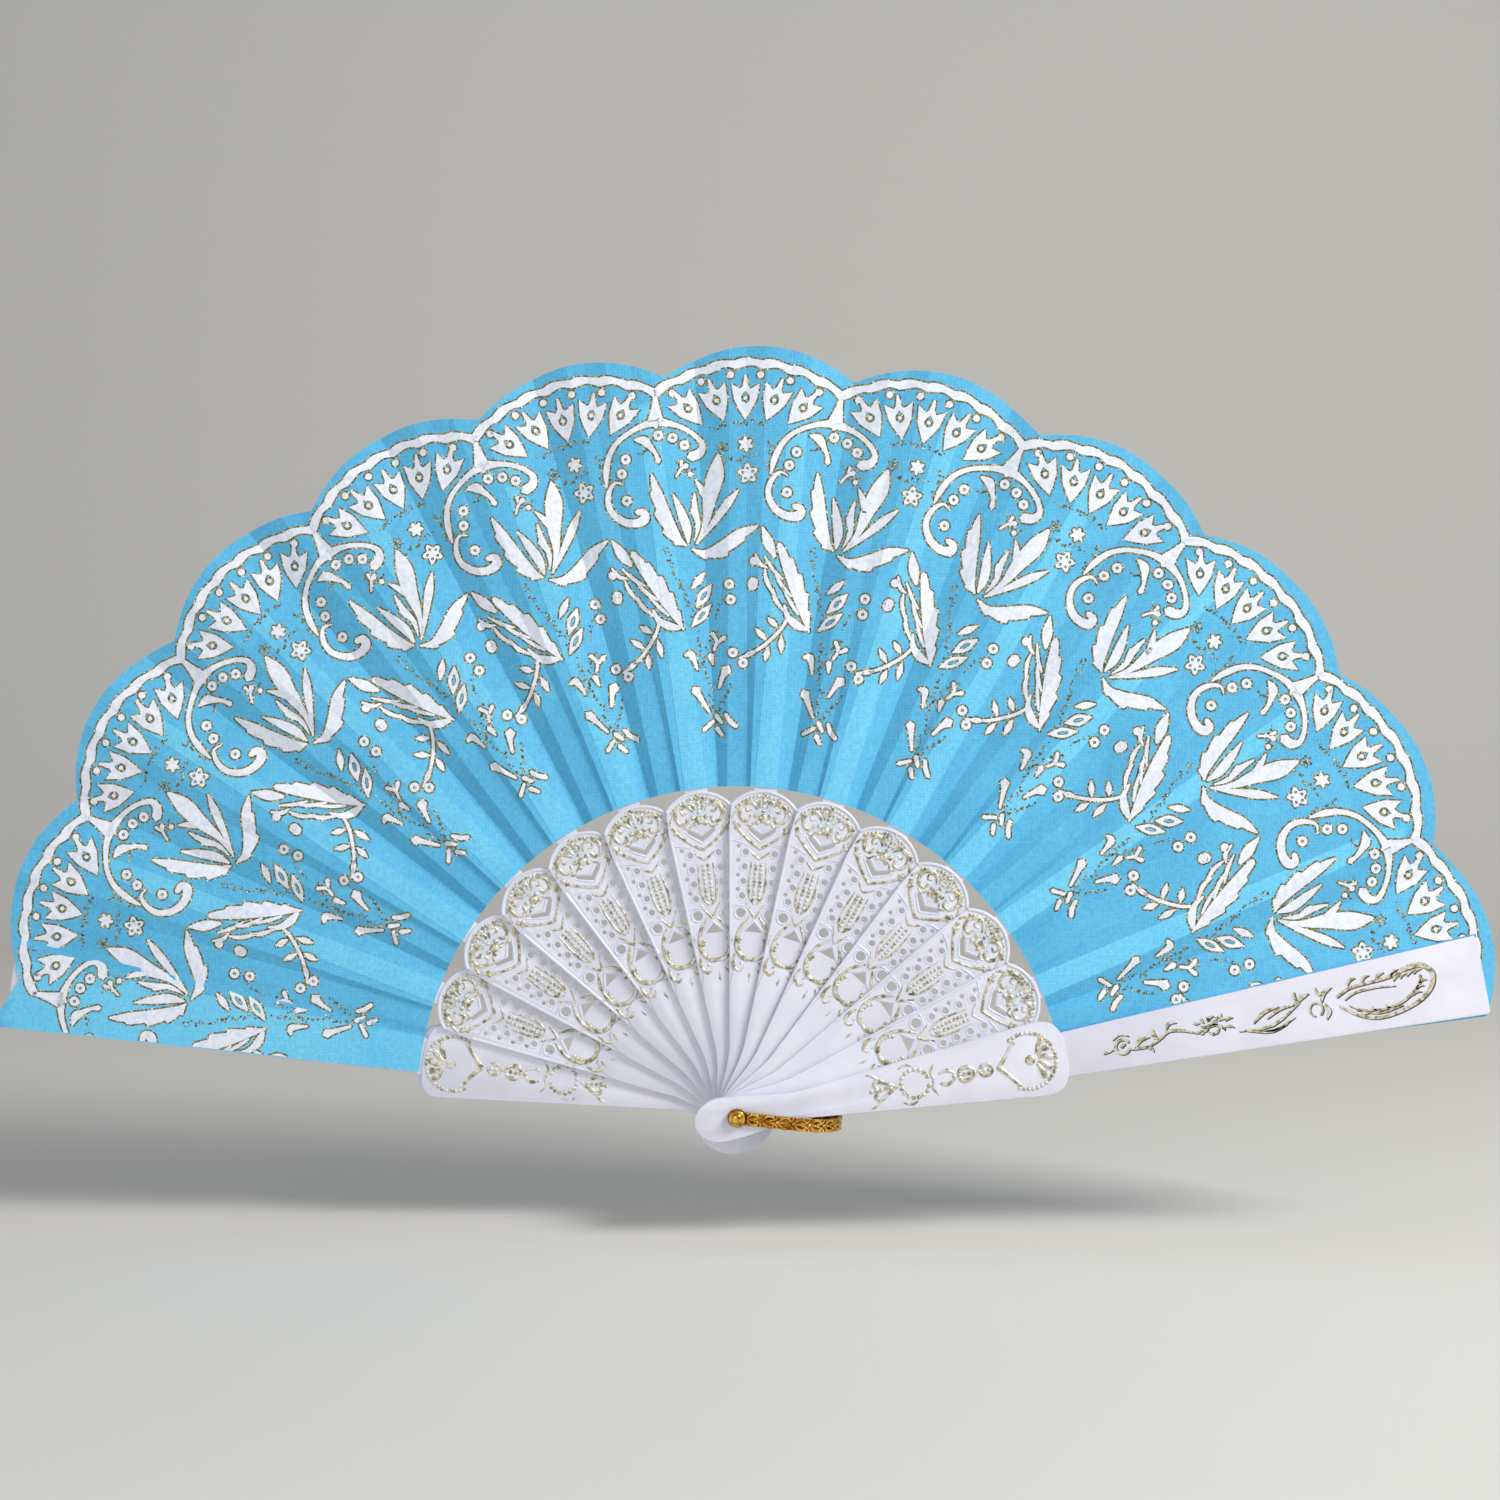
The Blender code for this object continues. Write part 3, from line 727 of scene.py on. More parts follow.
def pleat_breaks(stick, r):
    """The angles, from the stick's centre line, at which its pleat changes direction."""
    outer_edge, inner_edge = backing_angle(stick, r, EDGE_BAND), backing_angle(stick, r, -EDGE_BAND)
    if stick == 0:
        glued_part = [-FRONT_HEM, 0.0, MOUNTAIN]
    elif stick == LAST:
        return [-VALLEY, -outer_edge, -inner_edge, 0.0, REAR_HEM]
    else:
        glued_part = [-VALLEY, -outer_edge, -inner_edge, 0.0, inner_edge, outer_edge, MOUNTAIN]
    hidden = backing_angle(1, r, SLIP_CLEARANCE)
    free_width = pitch_angle - VALLEY - MOUNTAIN
    behind = [MOUNTAIN + free_width * (MOUNTAIN + way * hidden) / (MOUNTAIN + VALLEY) for way in (-1, 1)]
    return glued_part + behind + [pitch_angle - VALLEY]


FINEST = math.radians(1.15)
columns = []  # each is (stick, break before it, share of the way to the next break)
for stick in range(LAST + 1):
    breaks = pleat_breaks(stick, MIDDLE_REACH)
    for i in range(len(breaks) - 1):
        pieces_across = max(1, math.ceil((breaks[i + 1] - breaks[i]) / FINEST))
        columns += [(stick, i, step / pieces_across) for step in range(pieces_across)]
columns.append((LAST, len(pleat_breaks(LAST, MIDDLE_REACH)) - 2, 1.0))


def column_angle(column, r):
    stick, i, share = column
    breaks = pleat_breaks(stick, r)
    return stick_angle(stick) + breaks[i] + share * (breaks[i + 1] - breaks[i])


cusp = FIRST_CREST - SCALLOP_PERIOD / 2
while cusp < column_angle(columns[-1], LEAF_CUSP):
    angles = [column_angle(column, LEAF_CUSP) for column in columns]
    after = next((n for n, value in enumerate(angles) if value > cusp), 0)
    if after and min(abs(value - cusp) for value in angles) > math.radians(0.12):
        stick, i, _ = columns[after - 1]
        breaks = pleat_breaks(stick, LEAF_CUSP)
        share = (cusp - stick_angle(stick) - breaks[i]) / (breaks[i + 1] - breaks[i])
        columns.insert(after, (stick, i, share))
    cusp += SCALLOP_PERIOD

fixed_rows = [*np.linspace(LEAF_INNER, SLIP_REACH - 1.3, 24), SLIP_REACH]
edge_shares = [0.25, 0.5, 0.75, 1.0]
points = []
for column in columns:
    for r in fixed_rows:
        turn = column_angle(column, r)
        points.append((r * math.cos(turn), r * math.sin(turn)))
    turn = column_angle(column, LEAF_CUSP)
    for share in edge_shares:
        r = SLIP_REACH + share * (leaf_edge(turn) - SLIP_REACH)
        points.append((r * math.cos(turn), r * math.sin(turn)))
rows_out = len(fixed_rows) + len(edge_shares)
quads = []
for c in range(len(columns) - 1):
    for r in range(rows_out - 1):
        corner = c * rows_out + r
        quads.append((corner, corner + 1, corner + rows_out + 1, corner + rows_out))


def two_sided(name, points, faces, front, back):
    """A thin closed sheet: a front and a back layer in the plane of the fan, joined round every border."""
    count = len(points)
    vertices = [
        (x * MM, -front * MM, z * MM) for x, z in points
    ] + [(x * MM, -back * MM, z * MM) for x, z in points]
    uses = {}
    for face in faces:
        for a, b in zip(face, [*face[1:], face[0]]):
            uses.setdefault((min(a, b), max(a, b)), []).append((a, b))
    walls = [(b, a, a + count, b + count) for ((a, b),) in (v for v in uses.values() if len(v) == 1)]
    mesh = bpy.data.meshes.new(name)
    mesh.from_pydata(
        vertices, [],
        [*map(tuple, faces), *[tuple(i + count for i in reversed(face)) for face in faces], *walls]
    )
    return mesh


flat_cloth = two_sided("flat_cloth", points, quads, CLOTH_HALF, -CLOTH_HALF)
print(f"cloth: {len(columns)} columns by {rows_out} rows")


# %% Pleat it
def pleated_mesh(flat_source, material):
    return run_tree(bpy.data.objects.new("flat", flat_source), pleat, {**PLEAT_SIZES, "Material": material})


cloth_mesh = pleated_mesh(flat_cloth, cloth_blue)
for edge_face in cloth_mesh.polygons:
    edge_face.use_smooth = False
leaf = new_piece("leaf_cloth", cloth_mesh, cloth_blue)
low, high = np.array(leaf.bound_box).min(axis=0), np.array(leaf.bound_box).max(axis=0)
print("leaf box in mm:", np.round(low / MM, 1), np.round(high / MM, 1))

# %% [markdown]
# ## The printed lace
# One drawing is repeated round the leaf, once for every scallop. It is drawn upright, in millimetres
# above the rivet, beside the line through a cusp of the scalloped edge: a rope that follows the edge, a
# row of tulip petals, a C-shaped scroll, a spray of long leaves, a half-open leaf with a sprig, and
# small bells. Every white shape has a thin rim of gold glitter, as on cheap brocade.


# %% Draw one repeat of the lace
def polar(turn_from_cusp, r):
    """A point this many degrees to the right of the cusp line, and this far from the rivet."""
    turn = math.radians(turn_from_cusp)
    return (r * math.sin(turn), r * math.cos(turn))


def turned_about(points, centre, turn):
    """Points drawn about (0, 0) turned to the right by this many degrees, and moved to the centre."""
    c, s = math.cos(math.radians(turn)), math.sin(math.radians(turn))
    return [(centre[0] + x * c + y * s, centre[1] - x * s + y * c) for x, y in points]


def bead_ring(centre, radius=1.4, hole=0.5):
    return (ellipse(centre, radius, sides=14), ellipse(centre, hole, sides=8))


def almond(start, end, width, hole=0.0):
    middle = ((start[0] + end[0]) / 2, (start[1] + end[1]) / 2)
    shape = [ribbon([start, middle, end], [0.2, width, 0.2], steps=4)]
    if hole:
        turn = math.atan2(end[1] - start[1], end[0] - start[0])
        long = math.dist(start, end) / 2
        shape.append(ellipse(middle, long * hole, width * 0.5 * hole, turn, 8))
    return tuple(shape)


def rosette(centre, radius, petals, holes=0.0):
    outline = []
    for i in range(petals * 6):
        turn = math.tau * i / (petals * 6)
        r = radius * (0.78 + 0.22 * math.cos(petals * turn))
        outline.append((centre[0] + r * math.sin(turn), centre[1] + r * math.cos(turn)))
    eyes = []
    for i in range(petals):
        turn = math.tau * i / petals
        eyes.append((centre[0] + radius * 0.5 * math.sin(turn), centre[1] + radius * 0.5 * math.cos(turn)))
    return (outline, *[ellipse(eye, holes, sides=6) for eye in eyes if holes])


REPEAT = math.degrees(SCALLOP_PERIOD)
ROPE_CUSP = -0.83  # the print sits a little left of the cusps, in degrees
ROPE_BUMPS = 7
ROPE_STEPS = 56
TULIPS_AT, TULIP_STEP = 6.35, 2.34  # the middle petal's place, and the step to the next


def rope_reach(share):
    return LEAF_CUSP - 4.6 + (SCALLOP_DEPTH - 0.6) * (1 - (2 * share - 1) ** 2) + 0.7 * abs(
        math.sin(ROPE_BUMPS * math.pi * share)
    )


lace = []
rope_line = [
    polar(ROPE_CUSP + REPEAT * i / ROPE_STEPS, rope_reach(i / ROPE_STEPS)) for i in range(ROPE_STEPS + 1)
]
lace.append((ribbon(rope_line, [2.2 + 0.4 * math.sin(i * 0.8) for i in range(ROPE_STEPS + 1)], steps=1),))
for gap in range(6):
    turn = TULIPS_AT + (gap - 2.5) * TULIP_STEP
    lace.append((ellipse(polar(turn, rope_reach((turn - ROPE_CUSP) / REPEAT) - 3.1), 1.0, sides=10),))

TULIP = [
    (0, -6.2), (1.6, -3.6), (3.2, -0.6), (3.6, 1.6), (4.1, 4.1), (2.6, 3.2), (1.5, 2.6), (0.8, 3.4),
    (0.3, 6.6)
]
tulip_outline = TULIP + [(-x, y) for x, y in reversed(TULIP[1:])]
for place in range(5):
    lean = TULIPS_AT + (place - 2) * 21
    centre = polar(TULIPS_AT + (place - 2) * TULIP_STEP, 204.6 - 0.55 * (place - 2) ** 2)
    teardrop = [
        (1.35 * math.sin(t), -1.5 * math.cos(t) + (0.6 if math.cos(t) < -0.9 else 0))
        for t in np.arange(10) * math.tau / 10
    ]
    lace.append((turned_about(tulip_outline, centre, lean), turned_about(teardrop, centre, lean)))
    lace.append((ellipse(centre, 0.62, sides=8),))

SCROLLS = [
    ([(-3.0, 207.4), (-3.3, 203.6), (-3.7, 199.2)], [0.9, 2.2, 4.6]),
    ([(5.4, 188.4), (7.9, 189.2), (9.0, 191.4), (7.5, 194.0), (4.4, 196.5), (1.0, 198.1), (-3.0, 199.0),
      (-7.2, 198.5), (-11.0, 197.0), (-15.0, 194.5), (-17.9, 190.8), (-19.3, 186.0), (-19.6, 181.8)],
     [2.7, 2.5, 1.7, 1.3, 1.3, 1.5, 2.4, 1.7, 1.3, 1.3, 1.5, 1.7, 0.4]),
    ([(-14.6, 182.2), (-17.2, 182.8), (-19.2, 180.0), (-19.5, 176.4), (-18.0, 173.5),
      (-15.4, 171.4), (-12.2, 170.7), (-9.7, 171.5), (-9.6, 173.4), (-11.6, 173.9)],
     [0.3, 0.8, 1.4, 1.6, 1.8, 2.1, 2.3, 2.7, 2.2, 1.4]),
    ([(-10.4, 194.6), (-7.6, 194.1), (-6.0, 192.2), (-4.6, 190.0), (-4.0, 187.8)], [0.4, 2.5, 1.6, 1.0, 1.5]),
    ([(3.9, 186.0), (2.3, 185.2), (0.6, 182.9)], [1.5, 0.8, 0.6]),
    ([(2.6, 187.4), (2.3, 185.6)], [1.0, 0.6]),
    # The open half of the half-open leaf: a broken rim, and leaflets that branch from the spine
    ([(-2.6, 139.6), (-5.6, 140.4), (-8.4, 142.4), (-9.8, 145.4)], [1.1, 2.3, 1.5, 0.6]),
    ([(-9.6, 143.6), (-12.6, 146.6), (-13.8, 149.6)], [0.6, 1.2, 0.4]),
    ([(-13.2, 147.8), (-16.0, 151.6), (-17.0, 154.8)], [0.6, 1.1, 0.4]),
    ([(-5.4, 143.4), (-8.0, 146.2), (-11.4, 150.6)], [0.6, 1.0, 0.3]),
    ([(-8.2, 148.2), (-11.6, 151.0), (-14.6, 155.4)], [0.6, 1.1, 0.3]),
    ([(-11.4, 152.6), (-14.2, 154.6), (-17.6, 158.2)], [0.5, 1.0, 0.4]),
    ([(-16.4, 155.2), (-18.6, 156.0), (-20.4, 158.6)], [0.5, 1.1, 0.5]),
    # The sprig's stem
    (
        [(-8.4, 141.4), (-9.8, 138.2), (-12.9, 134.0), (-16.0, 131.0), (-20.0, 128.4)],
        [0.8, 0.9, 0.9, 0.8, 0.7]
    ),
    # Bells and dashes
    ([(-1.9, 131.6), (-0.2, 131.8), (0.6, 129.8), (1.2, 127.2)], [0.8, 2.0, 1.2, 0.6]),
    ([(6.4, 137.2), (7.5, 134.8), (6.5, 132.4)], [1.1, 0.9, 0.8]),
    ([(9.8, 135.6), (7.8, 134.4)], [1.3, 0.7]),
    ([(5.4, 131.0), (5.8, 128.2)], [1.7, 0.5]),
    ([(9.6, 126.4), (8.3, 124.6), (6.9, 121.4)], [3.0, 1.4, 0.8]),
    ([(0.0, 121.4), (1.0, 119.6), (3.4, 114.8)], [2.6, 1.5, 0.7]),
    ([(1.4, 109.8), (4.3, 112.0)], [1.1, 0.9]),
    ([(5.2, 113.6), (6.7, 111.3)], [1.3, 0.9]),
    ([(5.1, 109.9), (6.5, 107.7)], [1.3, 0.9]),
    ([(8.0, 113.7), (9.0, 111.6), (10.6, 109.9)], [1.0, 1.3, 1.2]),
]
lace += [(ribbon(points, widths, steps=4),) for points, widths in SCROLLS]

LEAVES = [
    (
        [(-6.3, 184.4), (-5.6, 178.5), (-3.9, 171.0), (-1.4, 165.4), (1.5, 163.1)],
        [0.4, 3.6, 4.6, 3.6, 0.6], 5, -1
    ),
    ([(-0.8, 178.2), (0.9, 173.0), (2.2, 168.0), (2.2, 163.8)], [0.3, 2.2, 2.5, 0.6], 0, 0),
    ([(5.4, 178.0), (4.8, 173.2), (5.4, 168.6), (4.2, 164.6)], [0.4, 2.1, 1.5, 0.4], 3, -1),
    (
        [(13.3, 188.0), (12.0, 182.6), (9.6, 176.0), (7.8, 169.2), (5.0, 164.0)], [1.0, 4.7, 3.9, 1.7, 0.5],
        0, 0
    ),
    ([(5.9, 181.8), (7.6, 178.6), (8.6, 175.0)], [0.3, 1.7, 1.2], 0, 0),
    ([(18.1, 177.4), (14.4, 173.6), (9.6, 168.4), (4.4, 163.3)], [0.3, 2.3, 1.6, 0.5], 0, 0),
    (
        [(22.5, 166.4), (17.6, 164.4), (12.2, 161.0), (7.0, 160.0), (2.9, 161.8)],
        [0.5, 3.6, 4.6, 2.8, 0.4], 4, 1
    ),
    ([(-19.6, 166.6), (-17.2, 162.4), (-14.8, 158.8)], [0.4, 2.9, 1.0], 0, 0),
    (
        [(-14.0, 162.2), (-10.6, 157.4), (-7.0, 151.6), (-4.0, 145.2), (-1.5, 138.8)],
        [1.6, 3.9, 4.9, 3.6, 0.4], 5, 1
    ),
]
lace += [
    (ribbon(points, widths, lobes, side, 0.5, steps=9 if lobes else 5),)
    for points, widths, lobes, side in LEAVES
]

EDGE_SHAPES = len(lace) - len(LEAVES)  # the rope, the tulips and the scrolls come first
SPRIG = [
    ((-14.0, 141.2), (-10.6, 138.8), 1.7), ((-17.0, 137.6), (-13.2, 134.6), 1.6),
    ((-9.3, 136.8), (-8.5, 131.6), 1.7), ((-12.4, 133.0), (-12.7, 128.6), 1.7),
    ((-15.4, 131.4), (-19.2, 128.8), 1.5), ((1.8, 150.4), (6.2, 155.0), 2.0),
]
lace += [almond(start, end, width) for start, end, width in SPRIG]
lace += [almond((2.6, 145.0), (7.6, 151.4), 3.2, 0.42), almond((0.8, 139.6), (7.0, 145.6), 2.9, 0.42)]
RINGS = [
    (-3.3, 195.2), (0.7, 194.2), (3.9, 191.9), (-13.3, 189.2), (-14.8, 185.2), (-14.2, 177.4),
    (-22.2, 129.7), (-18.8, 127.2), (-19.7, 149.6), (12.7, 150.7), (19.6, 150.4), (12.7, 146.2),
]
lace += [bead_ring(centre) for centre in RINGS]
lace += [(ellipse((-20.4, 156.5), 1.2, sides=10),), (ellipse((4.7, 183.4), 0.75, sides=8),)]
lace += [rosette((21.4, 190.2), 2.2, 6, 0.0), rosette((21.2, 181.7), 3.0, 5, 0.5)]
print("lace shapes in one repeat:", len(lace))

# %% [markdown]
# ### Rims and sprinkled gold
# Each rim is a strip between the white outline and the same outline grown by half a millimetre.
# The loose gold specks lie along unseen stems, so they are placed by a Geometry Nodes tree that walks
# along a curve, drops a speck at even steps, and shifts each one a little at random from a fixed seed.

# %% Gold rims and specks
RIM = 0.5


def rim(outline, inner_by, outer_by):
    """A strip between two copies of an outline, as flat triangles."""
    inside, outside = grown(outline, inner_by), grown(outline, outer_by)
    strip = []
    for i in range(len(outline)):
        j = (i + 1) % len(outline)
        strip += [(inside[i], outside[i], outside[j]), (inside[i], outside[j], inside[j])]
    return strip


def rims(shapes):
    """The rims of (outline, holes) shapes, as flat triangles."""
    triangles = []
    for outline, *holes in shapes:
        triangles += rim(outline, -0.05, RIM)
        for hole in holes:
            triangles += rim(hole, 0.05, -min(RIM * 0.6, 0.28))
    return np.array(triangles, float)


sprinkle, given = new_tree(
    "sprinkle_along",
    {"Spacing": "Float", "Size": "Float", "Scatter": "Float", "Seed": "Int", "Material": "Material"}
)
steps_along = add(
    sprinkle, "GeometryNodeResampleCurve", {"Curve": given.outputs[0], "Length": given.outputs["Spacing"]},
    mode="LENGTH"
)
speck = add(
    sprinkle, "GeometryNodeMeshCircle", {"Vertices": 5, "Radius": given.outputs["Size"]}, fill_type="NGON"
)
flat_turn = add(sprinkle, "GeometryNodeTransform", {"Geometry": speck, "Rotation": (math.pi / 2, 0.0, 0.0)})
shift = add(
    sprinkle, "FunctionNodeRandomValue",
    {0: (-1.0, 0.0, -1.0), 1: (1.0, 0.0, 1.0), "Seed": given.outputs["Seed"]}, data_type="FLOAT_VECTOR"
)
scaled_shift = add(
    sprinkle, "ShaderNodeVectorMath", {0: shift.outputs[0], "Scale": given.outputs["Scatter"]},
    operation="SCALE"
)
scattered = add(sprinkle, "GeometryNodeSetPosition", {"Geometry": steps_along, "Offset": scaled_shift})
grow = add(
    sprinkle, "FunctionNodeRandomValue", {2: 0.6, 3: 1.5, "Seed": given.outputs["Seed"]}, data_type="FLOAT"
)
specks = add(
    sprinkle, "GeometryNodeInstanceOnPoints",
    {"Points": scattered, "Instance": flat_turn, "Scale": grow.outputs[1]}
)
close_tree(sprinkle, specks, given.outputs["Material"])


def curve_object(name, lines, to_point):
    """Smooth lines as one curve object. to_point turns a drawn (x, y) into a place in metres."""
    curve = bpy.data.curves.new(name, "CURVE")
    curve.dimensions = "3D"
    for line in lines:
        spline = curve.splines.new("POLY")
        spline.points.add(len(line) - 1)
        for point, (x, y, width) in zip(spline.points, line):
            point.co = (*to_point(x, y), 1.0)
            point.radius = width / 2 * MM
    return bpy.data.objects.new(name, curve)


STEMS = [
    [(-4.4, 163.5), (-3.4, 158.5), (-2.0, 154.0), (-0.5, 149.6), (0.7, 145.0), (1.9, 138.8)],
    [(2.6, 136.0), (2.9, 128.0), (4.6, 122.6), (4.2, 116.6), (5.6, 111.6)],
    [(7.8, 138.0), (5.2, 134.0), (3.4, 129.0)],
    [(10.6, 122.0), (8.0, 117.6), (6.0, 114.4)],
    [(12.2, 195.4), (15.8, 196.6), (19.8, 196.2), (24.4, 196.2), (28.6, 194.6)],
    [(15.4, 186.2), (18.6, 186.4), (24.6, 186.6)],
    [(27.0, 190.6), (28.6, 188.8), (28.4, 186.2)],
    [(12.4, 147.8), (9.6, 145.6), (8.0, 141.4)],
    [(-12.6, 154.6), (-9.8, 150.6), (-7.0, 146.4), (-5.0, 142.6)],
    [(-9.4, 190.4), (-7.4, 191.8), (-5.6, 193.6)],
    [(0.8, 188.0), (3.4, 183.8), (5.6, 184.6)],
]
stem_curve = curve_object("stems", [smooth_line(stem) for stem in STEMS], lambda x, z: (x * MM, 0.0, z * MM))
speck_mesh = run_tree(
    stem_curve, sprinkle,
    {"Spacing": 0.5 * MM, "Size": 0.31 * MM, "Scatter": 0.75 * MM, "Seed": 4, "Material": ink_gold}
)


def triangles_in(mesh):
    """A flat mesh's triangles in millimetres, as (count, 3, 2)."""
    mesh.calc_loop_triangles()
    return np.array(
        [
            [(mesh.vertices[i].co.x / MM, mesh.vertices[i].co.z / MM) for i in t.vertices]
            for t in mesh.loop_triangles
        ]
    )


white_repeat, edge_rims, spray_rims = filled(lace), rims(lace[:EDGE_SHAPES]), rims(lace[EDGE_SHAPES:])
gold_rosettes = filled([rosette(centre, 2.0, 6, 0.4) for centre in ((14.7, 189.9), (28.2, 183.2))])
speck_repeat = np.concatenate([gold_rosettes, triangles_in(speck_mesh)])
print(
    "triangles in one repeat: white", len(white_repeat), " rims", len(edge_rims) + len(spray_rims),
    " specks", len(speck_repeat)
)

# %% [markdown]
# ### Repeat it round the leaf
# A second tree copies the drawing round the rivet, one copy for each scallop. The copies are then
# trimmed where the cloth ends and where the front guard's arm lies on it, cut along every crease, and
# sent through the pleating tree, so that the ink bends exactly where the cloth does.

# %% Repeat, cut, thicken and pleat
around, given = new_tree(
    "repeat_round_rivet", {"Count": "Int", "First Turn": "Float", "Turn": "Float", "Material": "Material"}
)
line_of_points = add(
    around, "GeometryNodeMeshLine", {"Count": given.outputs["Count"], "Offset": (0.0, 0.0, 0.0)},
    mode="OFFSET"
)
number = add(around, "GeometryNodeInputIndex")
turn_here = add(
    around, "ShaderNodeMath", {0: number, 1: given.outputs["Turn"], 2: given.outputs["First Turn"]},
    operation="MULTIPLY_ADD"
)
about_rivet = add(around, "ShaderNodeCombineXYZ", {"Y": turn_here})
copies = add(
    around, "GeometryNodeInstanceOnPoints",
    {"Points": line_of_points, "Instance": given.outputs[0], "Rotation": about_rivet}
)
close_tree(around, copies, given.outputs["Material"])


def cut_along(triangles, start, end):
    """Splits flat triangles where the straight line through two points crosses them."""
    way = np.subtract(end, start)
    normal = np.array([-way[1], way[0]]) / np.hypot(*way)
    side = (triangles - np.array(start)) @ normal
    side[np.abs(side) < 1e-4] = 0.0
    crossing = (side.min(axis=1) < 0) & (side.max(axis=1) > 0)
    whole, split, at = triangles[~crossing], triangles[crossing], side[crossing]
    if not len(split):
        return whole
    alone_positive = (at > 0).sum(axis=1) == 1
    lone = np.where(alone_positive, at.argmax(axis=1), at.argmin(axis=1))
    order = (lone[:, None] + np.arange(3)) % 3
    rows = np.arange(len(split))[:, None]
    split, at = split[rows, order], at[rows, order]
    a, b, c = split[:, 0], split[:, 1], split[:, 2]
    p = a + (b - a) * (at[:, 0] / (at[:, 0] - at[:, 1]))[:, None]
    q = a + (c - a) * (at[:, 0] / (at[:, 0] - at[:, 2]))[:, None]
    parts = [np.stack(corners, axis=1) for corners in ((a, p, q), (p, b, c), (p, c, q))]
    return np.concatenate([whole, *parts])


COPIES = 13  # more than the leaf holds: what hangs over its ends is trimmed off
ARM_GAP = 0.3  # the print stops this far from the front guard's arm
NEAR_CREASE = 45.0  # only the print this near a crease has to be tested for a cut
CREASE_LENGTH = 126.0


def on_leaf(r, turn):
    return (r * math.cos(turn), r * math.sin(turn))


def trimmed(triangles):
    """The print where the cloth is, and not under the front guard's arm."""
    inset = math.radians(0.12)
    low_end = stick_angle(0) - FRONT_HEM + inset
    high_end = stick_angle(LAST) + REAR_HEM - inset
    first = stick_angle(0)
    out = np.array([math.cos(first), math.sin(first)])
    left = np.array([-math.sin(first), math.cos(first)])
    arm_root, arm_tip = out * ARM_ROOT + left * (
        ARM_ROOT_HALF + ARM_GAP
    ), out * ARM_REACH + left * (ARM_TIP_HALF + ARM_GAP)
    arm_end = [out * (ARM_REACH + ARM_GAP) - left * 30, out * (ARM_REACH + ARM_GAP) + left * 30]
    hems = [(on_leaf(90, end), on_leaf(220, end)) for end in (low_end, high_end)]
    for line in (*hems, (arm_root, arm_tip), arm_end):
        triangles = cut_along(triangles, *line)
    middle = triangles.mean(axis=1)
    turn = np.arctan2(middle[:, 1], middle[:, 0])
    along, across = middle @ out, middle @ left
    share = (along - ARM_ROOT) / (ARM_REACH - ARM_ROOT)
    arm_half_here = ARM_ROOT_HALF + share * (ARM_TIP_HALF - ARM_ROOT_HALF) + ARM_GAP
    under_arm = (along < ARM_REACH + ARM_GAP) & (across < arm_half_here)
    return triangles[(turn > low_end) & (turn < high_end) & ~under_arm]


def lace_piece(name, repeat, back, front, material):
    """One layer of ink all round the leaf. back and front are its distances from the cloth's middle."""
    source = bpy.data.objects.new("repeat", flat_mesh("repeat", repeat))
    first_cusp = FIRST_CREST - 1.5 * SCALLOP_PERIOD
    sizes = {
        "Count": COPIES, "First Turn": math.pi / 2 - first_cusp, "Turn": -SCALLOP_PERIOD,
        "Material": material
    }
    triangles = trimmed(triangles_in(run_tree(source, around, sizes)))
    for stick in range(LAST + 1):
        inner_breaks, outer_breaks = pleat_breaks(stick, LEAF_INNER), pleat_breaks(stick, LEAF_REACH)
        for near, far in zip(inner_breaks, outer_breaks):
            start, end = on_leaf(
                LEAF_INNER, stick_angle(stick) + near
            ), on_leaf(LEAF_REACH, stick_angle(stick) + far)
            normal = np.array([-(end[1] - start[1]), end[0] - start[0]])
            off_line = np.abs((triangles - np.array(start)) @ normal).min(axis=1)
            near_line = off_line < CREASE_LENGTH * NEAR_CREASE
            triangles = np.concatenate([triangles[~near_line], cut_along(triangles[near_line], start, end)])
    flat = flat_mesh(name, triangles)
    corners = [(v.co.x / MM, v.co.z / MM) for v in flat.vertices]
    sheet = two_sided(name, corners, [tuple(face.vertices) for face in flat.polygons], front, back)
    piece = new_piece(name, pleated_mesh(sheet, material), material)
    print(name, "has", len(piece.data.polygons), "faces")
    return piece


lace_white = lace_piece("leaf_lace_white", white_repeat, CLOTH_HALF - 0.02, CLOTH_HALF + 0.09, ink_white)
lace_edge_rims = lace_piece(
    "leaf_lace_gold_edge_rims", edge_rims, CLOTH_HALF - 0.02, CLOTH_HALF + 0.05, ink_gold
)
lace_spray_rims = lace_piece(
    "leaf_lace_gold_spray_rims", spray_rims, CLOTH_HALF - 0.02, CLOTH_HALF + 0.05, ink_gold
)
lace_specks = lace_piece(
    "leaf_lace_gold_specks", speck_repeat, CLOTH_HALF - 0.02, CLOTH_HALF + 0.06, ink_gold
)
leaf_pieces = [leaf, lace_white, lace_edge_rims, lace_spray_rims, lace_specks]

# %% [markdown]
# ## Relief
# Moulded relief is made of rounded ridges and beads that stand on a plate. One Geometry Nodes tree turns
# every drawn line into a ridge: a round section follows the line, as wide as the pen was, and is then
# flattened. A second tree sets a row of beads along a line. Their lower halves are buried in the plate.

